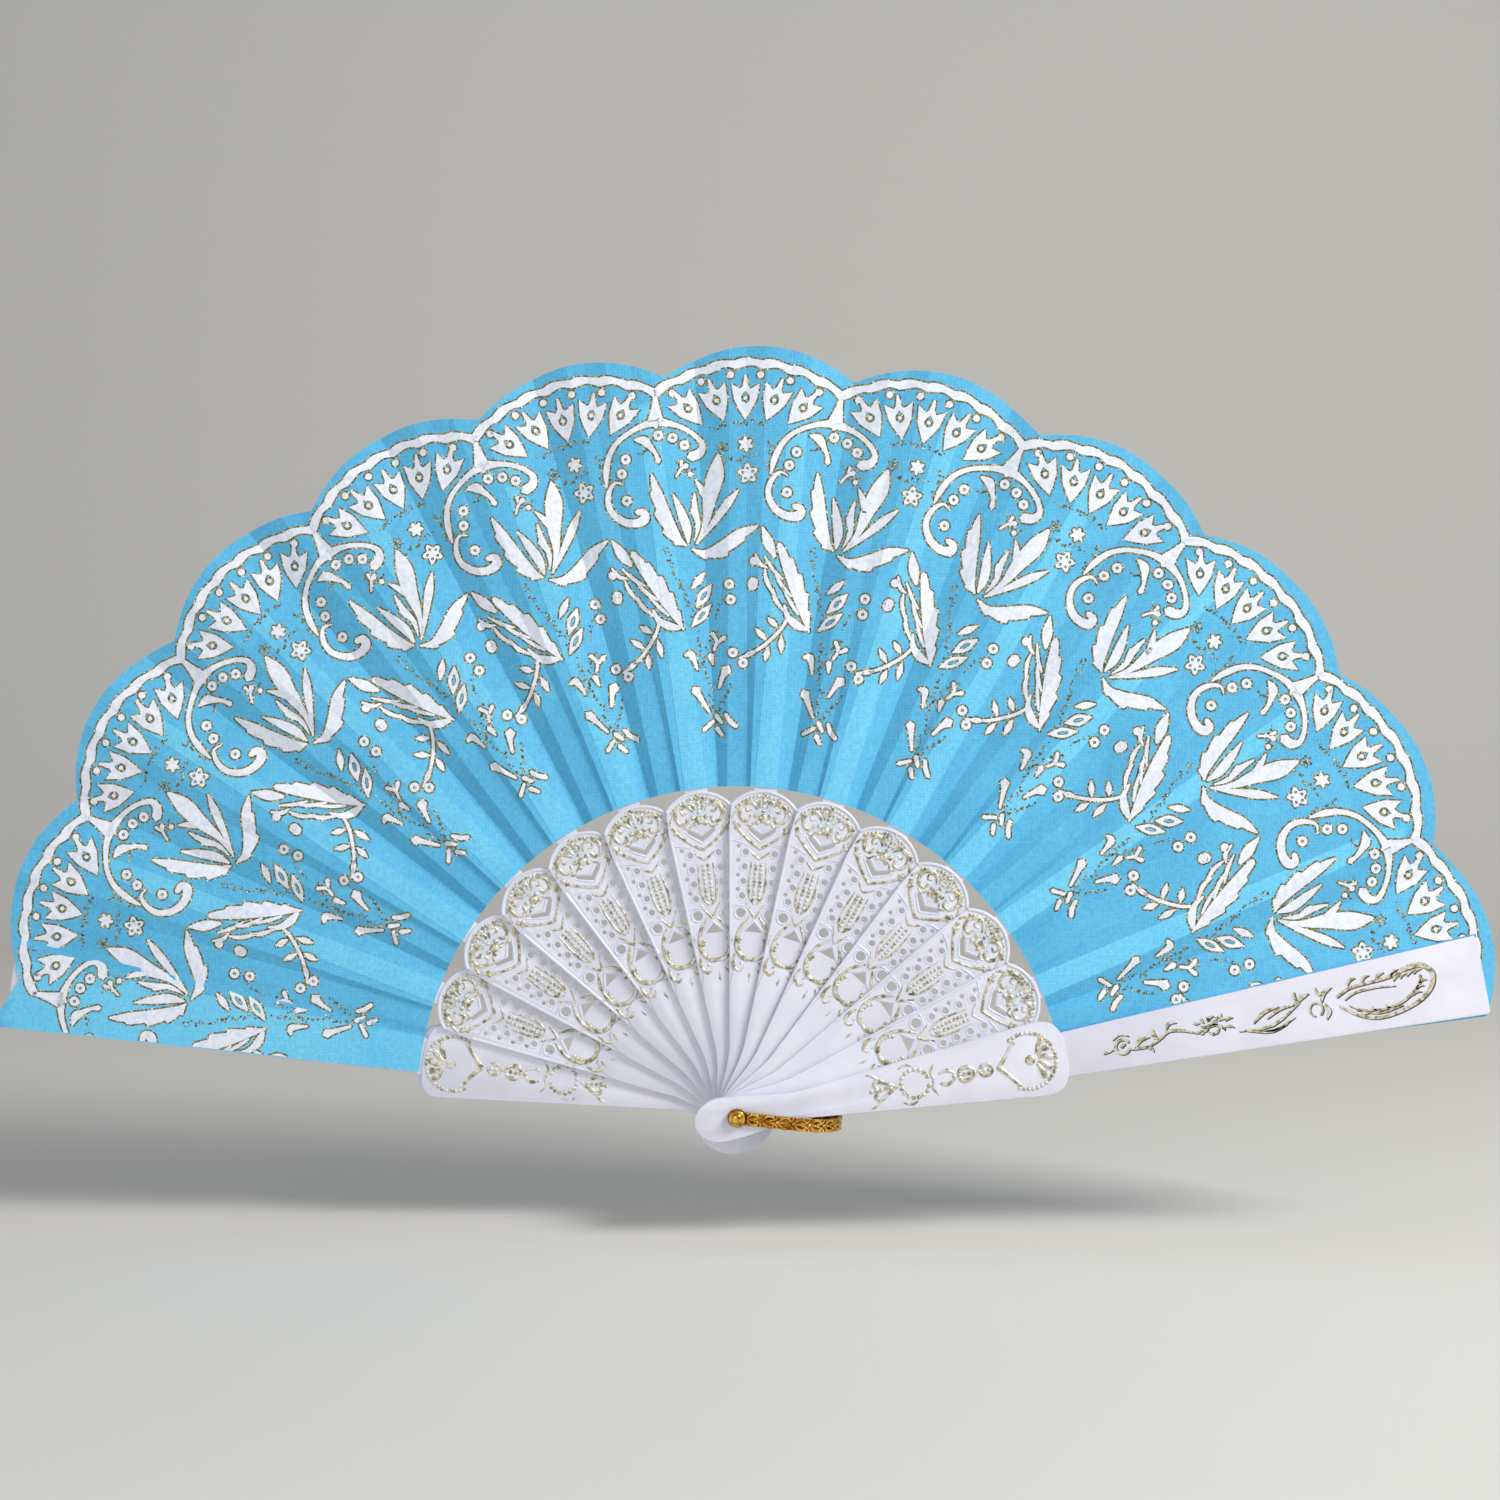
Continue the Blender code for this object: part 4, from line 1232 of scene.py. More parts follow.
# %% Trees for ridges and beads
raised, given = new_tree(
    "ridge_along_lines", {"Sides": "Int", "Flatness": "Float", "Level": "Float", "Material": "Material"}
)
section = add(
    raised, "GeometryNodeCurvePrimitiveCircle", {"Resolution": given.outputs["Sides"], "Radius": 1.0},
    mode="RADIUS"
)
pen_width = add(raised, "GeometryNodeInputRadius")
tube = add(
    raised, "GeometryNodeCurveToMesh",
    {"Curve": given.outputs[0], "Profile Curve": section, "Scale": pen_width, "Fill Caps": True}
)
squash = add(raised, "ShaderNodeCombineXYZ", {"X": 1.0, "Y": 1.0, "Z": given.outputs["Flatness"]})
lift = add(raised, "ShaderNodeCombineXYZ", {"Z": given.outputs["Level"]})
here = add(raised, "GeometryNodeInputPosition")
pressed = add(raised, "ShaderNodeVectorMath", {0: here, 1: squash, 2: lift}, operation="MULTIPLY_ADD")
ridge = add(raised, "GeometryNodeSetPosition", {"Geometry": tube, "Position": pressed})
close_tree(raised, ridge, given.outputs["Material"])

beaded, given = new_tree(
    "beads_along_lines",
    {"Spacing": "Float", "Size": "Float", "Flatness": "Float", "Level": "Float", "Material": "Material"}
)
even = add(
    beaded, "GeometryNodeResampleCurve", {"Curve": given.outputs[0], "Length": given.outputs["Spacing"]},
    mode="LENGTH"
)
ball = add(beaded, "GeometryNodeMeshIcoSphere", {"Radius": given.outputs["Size"], "Subdivisions": 2})
squash = add(beaded, "ShaderNodeCombineXYZ", {"X": 1.0, "Y": 1.0, "Z": given.outputs["Flatness"]})
row = add(beaded, "GeometryNodeInstanceOnPoints", {"Points": even, "Instance": ball, "Scale": squash})
lift = add(beaded, "ShaderNodeCombineXYZ", {"Z": given.outputs["Level"]})
raised_row = add(
    beaded, "GeometryNodeTranslateInstances", {"Instances": row, "Translation": lift, "Local Space": False}
)
close_tree(beaded, raised_row, given.outputs["Material"])


def flat_curve(lines):
    return curve_object("lines", lines, lambda x, y: (x * MM, y * MM, 0.0))


def ridges(lines, material, level, flatness=0.6, sides=8):
    """Rounded ridges along (points, widths) lines in millimetres, at this level of a flat plate."""
    drawn = [smooth_line(points, widths) for points, widths in lines]
    mesh = run_tree(
        flat_curve(drawn), raised,
        {"Sides": sides, "Flatness": flatness, "Level": level * MM, "Material": material}
    )
    return tidy(mesh, crease=50)


def beads(lines, material, level, spacing, size, flatness=0.7):
    sizes = {
        "Spacing": spacing * MM, "Size": size * MM, "Flatness": flatness, "Level": level * MM,
        "Material": material
    }
    return tidy(run_tree(flat_curve([smooth_line(line) for line in lines]), beaded, sizes), crease=60)


def both_sides(lines):
    """The lines and their mirror images across the stick's centre line."""
    return lines + [([(x, -y) for x, y in points], *rest) for points, *rest in lines]


def circle_line(centre, radius, width, start=0, end=360, sides=14):
    """A round line, given as (points, widths). Angles are in degrees from the outward direction."""
    turns = np.radians(np.linspace(start, end, sides + 1))
    return [
        (centre[0] + radius * math.cos(t), centre[1] + radius * math.sin(t)) for t in turns
    ], [width] * (sides + 1)


# %% [markdown]
# ## The inner sticks
# Twelve moulded sticks are the same in everything but their angle. Each is a smooth thin blade near the
# rivet. It widens into a pierced shank with a raised rim and a round crest, and goes on behind the cloth
# as a thin slip. The openings are real holes. The pierced field lies a little lower than the blade.


# %% A flat plate with rounded edges and real holes
def pierced_plate(outline, holes, low, high, bevel=0.15):
    """A plate from low to high along its own Z, in millimetres, with rounded edges and real holes."""
    curve = bpy.data.curves.new("plate", "CURVE")
    curve.dimensions, curve.fill_mode = "2D", "BOTH"
    curve.extrude = ((high - low) / 2 - bevel) * MM
    curve.bevel_depth, curve.bevel_resolution, curve.offset = bevel * MM, 1, -bevel * MM
    for loop in (outline, *holes):
        spline = curve.splines.new("POLY")
        spline.points.add(len(loop) - 1)
        for point, (x, y) in zip(spline.points, loop):
            point.co = (x * MM, y * MM, 0.0, 1.0)
        spline.use_cyclic_u = True
    mesh = plain_mesh(bpy.data.objects.new("plate", curve))
    mesh.transform(Matrix.Translation((0.0, 0.0, (low + high) / 2 * MM)))
    return tidy(mesh)


def mirrored(upper):
    """A whole outline from its upper half, which runs from the tail to the outer end."""
    return upper + [(x, -y) for x, y in reversed(upper) if abs(y) > 1e-6]


def round_arc(centre_x, radius, start, end, steps):
    turns = np.radians(np.linspace(start, end, steps + 1))
    return [(centre_x + radius * math.cos(t), max(radius * math.sin(t), 0.0)) for t in turns]


HEAD_CENTRE, HEAD_HALF, TAIL = -4.4, 6.2, 12.2
WAIST_AT, WAIST_HALF = 18.0, 3.8
head = [
    (HEAD_CENTRE - (TAIL + HEAD_CENTRE) * math.sin(t), HEAD_HALF * math.cos(t))
    for t in np.linspace(math.pi / 2, 0, 14)
]
head[0] = (-TAIL, 0.0)
for share in np.linspace(0, 1, 9)[1:]:
    ease = 0.5 + 0.5 * math.cos(math.pi * share)
    head.append(
        (HEAD_CENTRE + share * (WAIST_AT - HEAD_CENTRE), WAIST_HALF + ease * (HEAD_HALF - WAIST_HALF))
    )

CREST_REACH, CREST_RADIUS = 92.5, 12.0
SHANK_AT, SHANK_HALF = 79.0, 9.366
crest_centre = CREST_REACH - CREST_RADIUS
corner = math.degrees(math.asin(SHANK_HALF / CREST_RADIUS))


def shank_half(s):
    """Half the shank's width at this distance from the rivet."""
    return WAIST_HALF + (s - WAIST_AT) / (SHANK_AT - WAIST_AT) * (SHANK_HALF - WAIST_HALF)


shank_side = [(s, shank_half(s)) for s in np.linspace(WAIST_AT, SHANK_AT, 8)[1:]]
shank = mirrored(head + shank_side + round_arc(crest_centre, CREST_RADIUS, corner, 0.0, 14))
BORE = ellipse((0.0, 0.0), 1.66, sides=28)
CHEVRON = [(77.9, 0.0), (80.7, -4.0), (81.9, -3.9), (79.4, 0.0), (81.9, 3.9), (80.7, 4.0)]
TRIANGLE = [(51.6, -2.5), (54.2, 0.0), (51.6, 2.5)]
BIG_DOT, DOT, SMALL_DOT = 1.3, 0.85, 0.6
big_dot_at = (56.8, 4.1)
dots_at = [(61.7 + 4.2 * row, 4.1) for row in range(4)]
small_dots_at = [(63.5, 5.4), (67.6, 5.75), (71.8, 6.05), (75.9, 6.3)]
openings = [BORE, CHEVRON, TRIANGLE]
for side in (-1, 1):
    for places, radius, sides in (
        ([big_dot_at], BIG_DOT, 12), (dots_at, DOT, 12), (small_dots_at, SMALL_DOT, 8)
    ):
        openings += [ellipse((s, side * t), radius, sides=sides) for s, t in places]

FIELD = 0.3
blade_end = [(37.5, shank_half(37.5) - 0.5), (40.5, 4.6), (42.5, 2.4), (43.2, 0.0)]
blade = mirrored(
    [(x, y - 0.01 if y else y) for x, y in head]
    + [(s, shank_half(s) - 0.02) for s in (24, 30, 35)]
    + blade_end
)
slip = mirrored(
    [(SLIP_ROOT, SLIP_ROOT_HALF), (SLIP_REACH - 1.35, SLIP_TIP_HALF), (SLIP_REACH, SLIP_TIP_HALF / 2)]
)
stick_parts = [
    pierced_plate(shank, openings, -0.6, FIELD, 0.14),
    pierced_plate(blade, [BORE], FIELD - 0.2, 0.6, 0.22),
    pierced_plate(slip, [], -0.23, 0.27, 0.1),
]
print("one plain stick:", sum(len(part.polygons) for part in stick_parts), "faces")

# %% [markdown]
# ### The sticks' relief
# White ridges rim the crest, the sides and every opening. Inside the crest a gilded palmette grows
# from a ball: a beaded arch, a column of steps, and a volute on each side. Below it come a V under the
# chevron, a stepped column between the rows of dots, an arch over the triangle, a ring of beads round a
# plain oval, and small scrolls where the blade begins.

# %% Draw the relief of one stick
side_rim = ([(s, shank_half(s) - 0.42) for s in (40, 50, 60, 70, 79)], [0.3, 0.8, 0.9, 0.9, 0.95])
crest_rim = circle_line((crest_centre, 0), CREST_RADIUS - 0.5, 1.0, -corner - 2, corner + 2, 22)
white_lines = [crest_rim, *both_sides([
    side_rim,
    circle_line(big_dot_at, BIG_DOT + 0.4, 0.55),
    *[circle_line(place, DOT + 0.3, 0.4, sides=10) for place in dots_at],
    ([(81.2, 4.75), (78.9, 2.2), (77.35, 0.0)], [0.4, 0.5, 0.5]),
    ([(82.6, 4.2), (81.3, 2.0), (80.05, 0.0)], [0.4, 0.5, 0.5]),
    ([(51.2, 3.6), (52.9, 1.95), (55.0, 0.0)], [0.5, 0.6, 0.6]),
    ([(77.5, 8.3), (77.1, 5.8), (76.3, 3.4)], [0.4, 0.6, 0.4]),
    ([(58.7, 6.6), (59.0, 4.6), (58.6, 2.2), (57.0, 1.2)], [0.4, 0.6, 0.6, 0.4]),
])]
white_relief = ridges(white_lines, plastic_white, FIELD, 0.62)

gold_lines = both_sides([
    circle_line((crest_centre, 0), 9.3, 0.75, 34, 70, 6),
    (
        [(86.7, 1.7), (88.5, 3.3), (88.3, 5.7), (85.9, 6.9), (83.5, 5.8), (83.5, 3.8), (85.0, 3.5)],
        [0.6, 1.1, 1.3, 1.2, 1.0, 0.9, 0.9]
    ),
    ([(87.4, 5.2), (86.2, 4.6), (86.6, 3.4)], [0.5, 0.8, 0.5]),
    ([(89.8, 2.0), (88.4, 1.5), (87.2, 0.9)], [0.6, 0.9, 0.5]),
    ([(83.2, 2.4), (81.9, 3.4), (82.4, 5.0)], [0.5, 0.7, 0.4]),
    ([(82.9, 8.0), (80.2, 6.3), (77.4, 3.0), (75.5, 0.0)], [1.3, 0.9, 0.8, 0.9]),
    ([(74.8, 2.8), (73.6, 1.5), (72.6, 0.0)], [0.3, 0.6, 0.7]),
    ([(71.6, 2.1), (66.0, 2.4), (61.8, 1.9), (59.6, 0.4)], [0.3, 0.7, 0.7, 0.6]),
    ([(60.0, 2.7), (57.0, 0.9), (55.9, 0.0)], [0.3, 0.7, 0.8]),
    (
        [(56.0, 1.4), (53.2, 3.4), (49.7, 4.5), (46.4, 4.1), (44.2, 2.2), (43.6, 0.2)],
        [0.5, 1.0, 1.0, 1.2, 1.3, 1.0]
    ),
    ([(52.0, 6.3), (49.6, 6.0), (47.4, 5.9)], [0.3, 0.6, 0.3]),
    ([(45.0, 4.7), (42.2, 4.9), (40.2, 3.3), (41.4, 1.9), (42.8, 2.7)], [0.5, 1.1, 1.3, 1.1, 0.7]),
    ([(40.6, 1.5), (38.6, 2.6), (36.8, 1.6), (37.4, 0.3)], [0.6, 0.9, 0.8, 0.4]),
])
gold_lines.append(([(40.6, 0.0), (38.4, 0.0), (35.8, 0.0)], [0.9, 1.2, 0.3]))
bead_lines = [
    circle_line((crest_centre, 0), 10.1, 1, -50, 50, 20)[0],
    circle_line((crest_centre, 0), 8.9, 1, -32, 32, 14)[0],
    [(91.3, 0.0), (88.8, 0.0), (86.4, 0.0)],
    *[[(71.0, side), (66.0, side * 1.1), (61.2, side)] for side in (-0.75, 0.75)],
    circle_line((47.6, 0), 3.75, 1, 60, 300, 14)[0],
    *[[(82.2, side * 7.6), (81.9, side * 6.6), (80.9, side * 7.4), (82.2, side * 7.6)] for side in (-1, 1)],
]
petals = [(84.2, 0.0), (84.9, 1.9), (84.9, -1.9), (83.1, 1.4), (83.1, -1.4)]
gold_relief = [
    ridges(gold_lines, gilding, FIELD, 0.66),
    beads(bead_lines, gilding, FIELD, 1.12, 0.52, 0.7),
    beads([[(x - 0.02, y), (x + 0.02, y)] for x, y in petals[:1]], gilding, FIELD, 0.1, 1.35, 0.34),
    beads([[(x - 0.02, y), (x + 0.02, y)] for x, y in petals[1:]], gilding, FIELD, 0.1, 0.7, 0.5),
]

# %% Set the twelve sticks
white_stick, gilt_stick = joined([*stick_parts, white_relief]), joined(gold_relief)
for number, name in enumerate(INNER_NAMES, start=1):
    place = upright(stick_angle(number), stick_depth(number))
    shank_piece = new_piece(f"{name}_shank", white_stick, plastic_white, place)
    gilt_piece = new_piece(f"{name}_gilding", gilt_stick, gilding, place)
    for piece in (shank_piece, gilt_piece):
        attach(piece, name)
    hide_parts(name)
print("faces on one stick:", len(white_stick.polygons), "white and", len(gilt_stick.polygons), "gilt")

# %% [markdown]
# ## The guards
# Each guard is moulded in layers: a shank like a stick's, but with no openings, a thick face with a soft
# broad end, and a long arm that covers the folded leaf. Both guards carry the same ornament, the front
# one on its outer face and the rear one on the inner face that shows at the left. A band of printed
# gold foil, with a painted shadow in dark brown along one side of its strokes, runs along the front arm.

# %% Model both guards
SHOULDER_AT, SHOULDER_HALF, SHOULDER_REACH, ROUNDNESS = 87.0, 10.5, 94.8, 2.8


def shoulder(reach):
    """The guard's outline: the head, straight sides, and a broad rounded end."""
    end = []
    for turn in np.linspace(math.pi / 2, 0, 19):
        along = SHOULDER_AT + (reach - SHOULDER_AT) * max(math.cos(turn), 0.0) ** (2 / ROUNDNESS)
        end.append((along, SHOULDER_HALF * max(math.sin(turn), 0.0) ** (2 / ROUNDNESS)))
    end[-1] = (reach, 0.0)
    return mirrored(head + end)


arm = mirrored([(ARM_ROOT, ARM_ROOT_HALF), (ARM_REACH - 0.8, ARM_TIP_HALF), (ARM_REACH, ARM_TIP_HALF - 0.8)])
front_parts = [
    pierced_plate(shoulder(CREST_REACH), [BORE], -0.6, 0.8, 0.2),
    pierced_plate(shoulder(SHOULDER_REACH), [BORE], 0.6, 2.0, 0.5),
    pierced_plate(arm, [], 0.23, 1.4, 0.3),
]
# The rear arm is narrower on its lower side, where the cloth's hem lies over it.
rear_arm = [
    (ARM_ROOT, -ARM_ROOT_HALF), (ARM_REACH - 0.8, -ARM_TIP_HALF), (ARM_REACH, 0.8 - ARM_TIP_HALF),
    (ARM_REACH, 7.6), (ARM_REACH - 0.8, 8.4), (ARM_ROOT, 4.5)
]
rear_parts = [
    pierced_plate(shoulder(CREST_REACH), [BORE], -0.8, 0.6, 0.25),
    pierced_plate(shoulder(SHOULDER_REACH), [BORE], -2.0, -0.6, 0.5),
    pierced_plate(rear_arm, [], -1.4, 0.23, 0.3),
]

# %% The guards' relief
petal_tips = [(89.6, 3.0), (90.3, 0.2), (89.4, -2.6), (87.6, -4.7), (88.4, 5.2)]
guard_gold = [
    (
        [
            (85.4 + (x - 85) * 0.25, y * 0.3 + 0.5), ((x + 85) / 2 + 0.6, y * 0.7 + 0.8), (x, y),
            (x - 0.7, y + 0.8)
        ],
        [0.7, 1.3, 1.7, 0.9]
    )
    for x, y in petal_tips
]
guard_gold += both_sides([
    ([(75.2, 0.0), (77.6, 2.7), (80.6, 6.4)], [1.5, 1.1, 1.2]),
    ([(73.6, 0.2), (72.2, 1.5), (70.4, 1.2), (69.6, 0.2)], [0.6, 1.0, 1.1, 0.7]),
    ([(68.2, 0.6), (66.6, 1.8), (64.6, 1.6), (63.6, 0.4)], [0.7, 1.3, 1.3, 0.7]),
    ([(62.6, 0.8), (60.4, 2.0), (58.2, 1.4)], [0.6, 1.1, 0.6]),
    ([(56.6, 0.2), (56.0, 2.4), (57.4, 4.6)], [1.0, 0.8, 0.4]),
    ([(47.0, 4.8), (49.4, 5.6), (51.2, 5.0)], [0.4, 0.8, 0.4]),
    ([(45.6, 0.2), (43.0, 1.6), (41.2, 2.6), (39.6, 1.6), (40.6, 0.4)], [0.7, 1.1, 1.4, 1.1, 0.6]),
    ([(41.0, 3.0), (39.4, 4.4), (37.8, 4.8)], [0.8, 0.8, 0.3]),
])
guard_beads = [
    circle_line((83.6, 0.2), 7.9, 1, -118, 122, 20)[0],
    [(62.4, 0.0), (65.0, 0.0), (67.6, 0.0), (72.4, 0.0)],
    [(45.6, 0.0), (42.4, 0.0), (38.6, 0.0)],
]
guard_rings = [circle_line((51.2, 0.0), 4.0, 1, 20, 340, 18)[0]]


def guard_relief(level, flatness):
    return joined([
        ridges(guard_gold, gilding, level, flatness),
        beads(guard_beads, gilding, level, 1.3, 0.6, flatness),
        beads(guard_rings, gilding, level, 1.45, 0.64, flatness),
        beads([[(84.2, 0.4), (84.24, 0.4)]], gilding, level, 0.1, 1.5, flatness * 0.45),
    ])


front_place, rear_place = upright(stick_angle(0), stick_depth(0)), upright(
    stick_angle(LAST), stick_depth(LAST)
)
front_piece = new_piece("front_guard_moulding", joined(front_parts), plastic_white, front_place)
rear_piece = new_piece("rear_guard_moulding", joined(rear_parts), plastic_white, rear_place)
front_gilt = new_piece("front_guard_gilding", guard_relief(2.0, 0.6), gilding, front_place)
rear_gilt = new_piece("rear_guard_gilding", guard_relief(0.6, 0.3), gilding, rear_place)

# %% [markdown]
# ### Foil on the arm
# The foil is flat gold leaf. Under it lies a dark brown copy of the drawing, shifted a little to one side
# of every stroke: a painted shadow. It is drawn with the same pen, and each layer is a closed sheet two
# hundredths of a millimetre above the one below.

# %% Foil print on the front arm
def leafy(start, end, bow, width):
    """A pointed leaf from one point to another, bowed to its left."""
    middle = (
        (start[0] + end[0]) / 2 - (end[1] - start[1]) * bow,
        (start[1] + end[1]) / 2 + (end[0] - start[0]) * bow
    )
    return ([start, middle, end], [0.3, width, 0.2])


PAISLEY_TOP = [
    (172.6, 1.6), (176.5, 3.4), (182.0, 3.9), (187.6, 4.4), (192.4, 5.8), (197.2, 6.2), (200.2, 3.6),
    (199.6, 0.0), (196.0, -3.4), (190.0, -5.6), (183.4, -6.4), (177.6, -4.6), (173.0, -1.2)
]
foil_lines = [
    ([(104.8, -1.9), (106.4, -1.5), (107.8, -1.2)], [0.3, 0.8, 0.4]),
    circle_line((110.6, -0.8), 2.0, 0.8, 30, 330, 14),
    ([(110.2, -0.8), (111.2, -0.2)], [1.0, 0.8]),
    ([(108.0, 1.4), (110.4, 2.6), (112.8, 1.8)], [0.3, 0.5, 0.3]),
    (
        [(112.8, -1.9), (117.2, -2.2), (121.0, -0.8), (124.0, 1.0), (127.6, 0.6), (131.0, -0.6)],
        [0.8, 0.7, 0.8, 0.9, 0.8, 0.6]
    ),
    leafy((114.0, -2.0), (118.6, 0.4), 0.2, 1.3), leafy((117.0, -2.2), (119.0, -4.0), 0.2, 1.0),
    leafy((121.0, -0.8), (119.8, 2.4), 0.2, 1.3), leafy((123.4, 1.4), (126.8, 3.0), 0.3, 1.1),
    leafy((143.6, -2.8), (162.0, 2.0), -0.13, 0.9), leafy((146.0, -3.2), (160.0, -1.8), -0.14, 0.9),
    leafy((148.0, -1.4), (156.0, 2.0), 0.12, 1.1), leafy((152.0, -0.8), (161.0, 1.6), 0.1, 0.9),
    leafy((149.0, -3.6), (157.4, -3.4), -0.1, 0.7),
    leafy((160.0, 1.4), (165.0, 4.0), 0.1, 1.5), leafy((161.4, 2.6), (161.0, 5.2), 0.2, 1.0),
    circle_line((166.2, -0.8), 1.9, 0.55, -60, 250, 12),
    leafy((168.0, 0.8), (171.6, 4.6), 0.2, 1.4), leafy(
        (169.0, 0.4), (168.6, -4.2), 0.2, 1.3
    ), leafy((168.6, 2.6), (167.0, 5.4), 0.2, 0.9),
    (PAISLEY_TOP, [0.8] * 3 + [1.0, 1.3, 1.5, 1.4, 1.3, 1.1, 1.0, 0.9, 0.8, 0.8]),
    ([(174.6, 0.4), (178.0, 1.9), (184.0, 2.2), (189.4, 1.6)], [0.5, 0.6, 0.6, 0.3]),
    (
        [(175.6, -1.6), (180.0, -3.6), (186.0, -4.2), (191.4, -2.8), (195.8, 0.6), (196.8, 3.4)],
        [0.4, 0.6, 0.7, 0.7, 0.7, 0.5]
    ),
    ([(177.0, -3.0), (183.6, -5.2), (190.6, -4.2)], [0.3, 0.4, 0.3]),
    *[leafy((x, 4.2), (x + 2.6, 5.9), 0.2, 0.9) for x in (176.0, 180.0, 184.2, 188.6)],
    *[leafy((x, -2.9), (x + 2.8, -4.6), -0.2, 0.8) for x in (178.0, 181.8, 185.6)],
    *[leafy((189.0 + 2 * i, 3.0 + 0.3 * i), (191.4 + 2 * i, 4.4 + 0.2 * i), 0.2, 0.9) for i in range(4)],
    *[leafy((193.6 + 1.2 * i, -2.0 + 1.5 * i), (196.4 + i, -1.4 + 1.6 * i), 0.2, 0.8) for i in range(3)],
]
PETALS = 22
star_petals = random.Random(7)
for i in range(PETALS):
    turn = math.tau * i / PETALS
    near, far = 1.0 + star_petals.random(), 3.0 + 1.0 * star_petals.random()
    centre = (136.8 + (i % 3 - 1) * 2.3, 0.4 + (i % 2 - 0.5) * 0.8)
    petal_root = (centre[0] + near * math.cos(turn), centre[1] + near * math.sin(turn))
    petal_tip = (centre[0] + far * 1.25 * math.cos(turn), centre[1] + far * 0.8 * math.sin(turn))
    foil_lines.append(leafy(petal_root, petal_tip, 0.15, 0.8))


def foil_layer(shift, grow_by, level):
    """The foil drawing as one closed sheet, moved sideways a little and this far above the arm."""
    shapes = []
    for points, widths in foil_lines:
        moved = [(x + shift[0], y + shift[1]) for x, y in ribbon(points, widths, steps=3)]
        shapes.append((grown(moved, grow_by),))
    flat = flat_mesh("foil", filled(shapes))
    corners = [(v.co.x / MM, v.co.z / MM) for v in flat.vertices]
    sheet = two_sided("foil", corners, [tuple(face.vertices) for face in flat.polygons], level, level - 0.06)
    sheet.transform(Matrix.Rotation(math.radians(-90), 4, "X"))
    return sheet


# Painted shadow: a dark brown copy of the foil drawing, shifted to one side of every gold stroke.
painted_foil_shadow, tree, shader = new_material("painted_foil_shadow_dark", Roughness=0.45, Metallic=0.3)
shader.inputs["Base Color"].default_value = colour("#4A4234")
foil_painted_shadow = new_piece("front_arm_foil_shadow", foil_layer((0.25, -0.28), 0.02, 1.43), painted_foil_shadow, front_place)
foil_gold = new_piece("front_arm_foil_gold", foil_layer((0.0, 0.0), -0.02, 1.45), gilding, front_place)

for piece, body in (
    (front_piece, "front_guard"), (front_gilt, "front_guard"), (foil_painted_shadow, "front_guard"),
    (foil_gold, "front_guard"), (rear_piece, "rear_guard"), (rear_gilt, "rear_guard")
):
    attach(piece, body)
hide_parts("front_guard")
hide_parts("rear_guard")

# %% [markdown]
# ## The metal
# A brass rivet holds everything, with a domed head at the front and a washer and peened tail at the
# back. A chased brass bail hangs on the rivet: a strap bent into a U, with an eye at each end. The strap
# and its leafy relief are drawn flat and straight, and one Geometry Nodes tree bends both round the U,
# as the real strip is chased flat and then bent.


# %% The rivet and its washer
def revolved(name, profile, closed, sides=40):
    """A solid turned about the rivet's axis, from (radius, y) points in millimetres."""
    shape = bmesh.new()
    rings = []
    for radius, y in profile:
        count = 1 if radius == 0 else sides
        rings.append(
            [
                shape.verts.new(
                    (
                        radius * MM * math.cos(math.tau * i / sides), y * MM,
                        radius * MM * math.sin(math.tau * i / sides)
                    )
                )
                for i in range(count)
            ]
        )
    for one, other in zip(rings, rings[1:] + rings[:1] if closed else rings[1:]):
        for i in range(sides):
            loop = [
                one[i % len(one)], one[(i + 1) % len(one)], other[(i + 1) % len(other)],
                other[i % len(other)]
            ]
            shape.faces.new(list(dict.fromkeys(loop)))
    mesh = bpy.data.meshes.new(name)
    shape.to_mesh(mesh)
    shape.free()
    return tidy(mesh, crease=40)


front_head = [
    (0, -14.55), (0.6, -14.5), (1.1, -14.35), (1.45, -14.05), (1.55, -13.85), (1.68, -13.85), (1.8, -14.0),
    (2.08, -14.0), (2.3, -13.8), (2.3, -13.25)
]
rear_tail = [
    (1.5, -13.25), (1.5, 13.8), (2.2, 13.8), (2.3, 14.0), (2.1, 14.5), (1.5, 14.85), (0.8, 14.98), (0, 15.0)
]
rivet = new_piece("rivet_turned", revolved("rivet", front_head + rear_tail, False), brass)
washer_profile = [(1.62, 13.25), (2.75, 13.25), (2.9, 13.38), (2.9, 13.62), (2.75, 13.75), (1.62, 13.75)]
washer = new_piece("rivet_washer_turned", revolved("washer", washer_profile, True), brass)

# %% The bending tree
BEND_AT, BEND_RADIUS = 17.05, 12.5
strap_length = 2 * BEND_AT + math.pi * BEND_RADIUS
bend, given = new_tree("bend_round_u", {"Bend At": "Float", "Radius": "Float", "Material": "Material"})
at = add(bend, "ShaderNodeSeparateXYZ", {0: add(bend, "GeometryNodeInputPosition")})
past = add(bend, "ShaderNodeMath", {0: at.outputs["X"], 1: given.outputs["Bend At"]}, operation="SUBTRACT")
half_turn = add(bend, "ShaderNodeMath", {0: given.outputs["Radius"], 1: math.pi}, operation="MULTIPLY")
u_turn = add(bend, "ShaderNodeMapRange", {"Value": past, "From Max": half_turn, "To Max": math.pi})
before = add(bend, "ShaderNodeMath", {0: at.outputs["X"], 1: given.outputs["Bend At"]}, operation="MINIMUM")
overshoot = add(bend, "ShaderNodeMath", {0: past, 1: half_turn}, operation="SUBTRACT")
return_run = add(bend, "ShaderNodeMath", {0: overshoot, 1: 0.0}, operation="MAXIMUM")
straight = add(bend, "ShaderNodeMath", {0: before, 1: return_run}, operation="SUBTRACT")
out_from_middle = add(
    bend, "ShaderNodeMath", {0: given.outputs["Radius"], 1: at.outputs["Z"]}, operation="ADD"
)
sine = add(bend, "ShaderNodeMath", {0: u_turn}, operation="SINE")
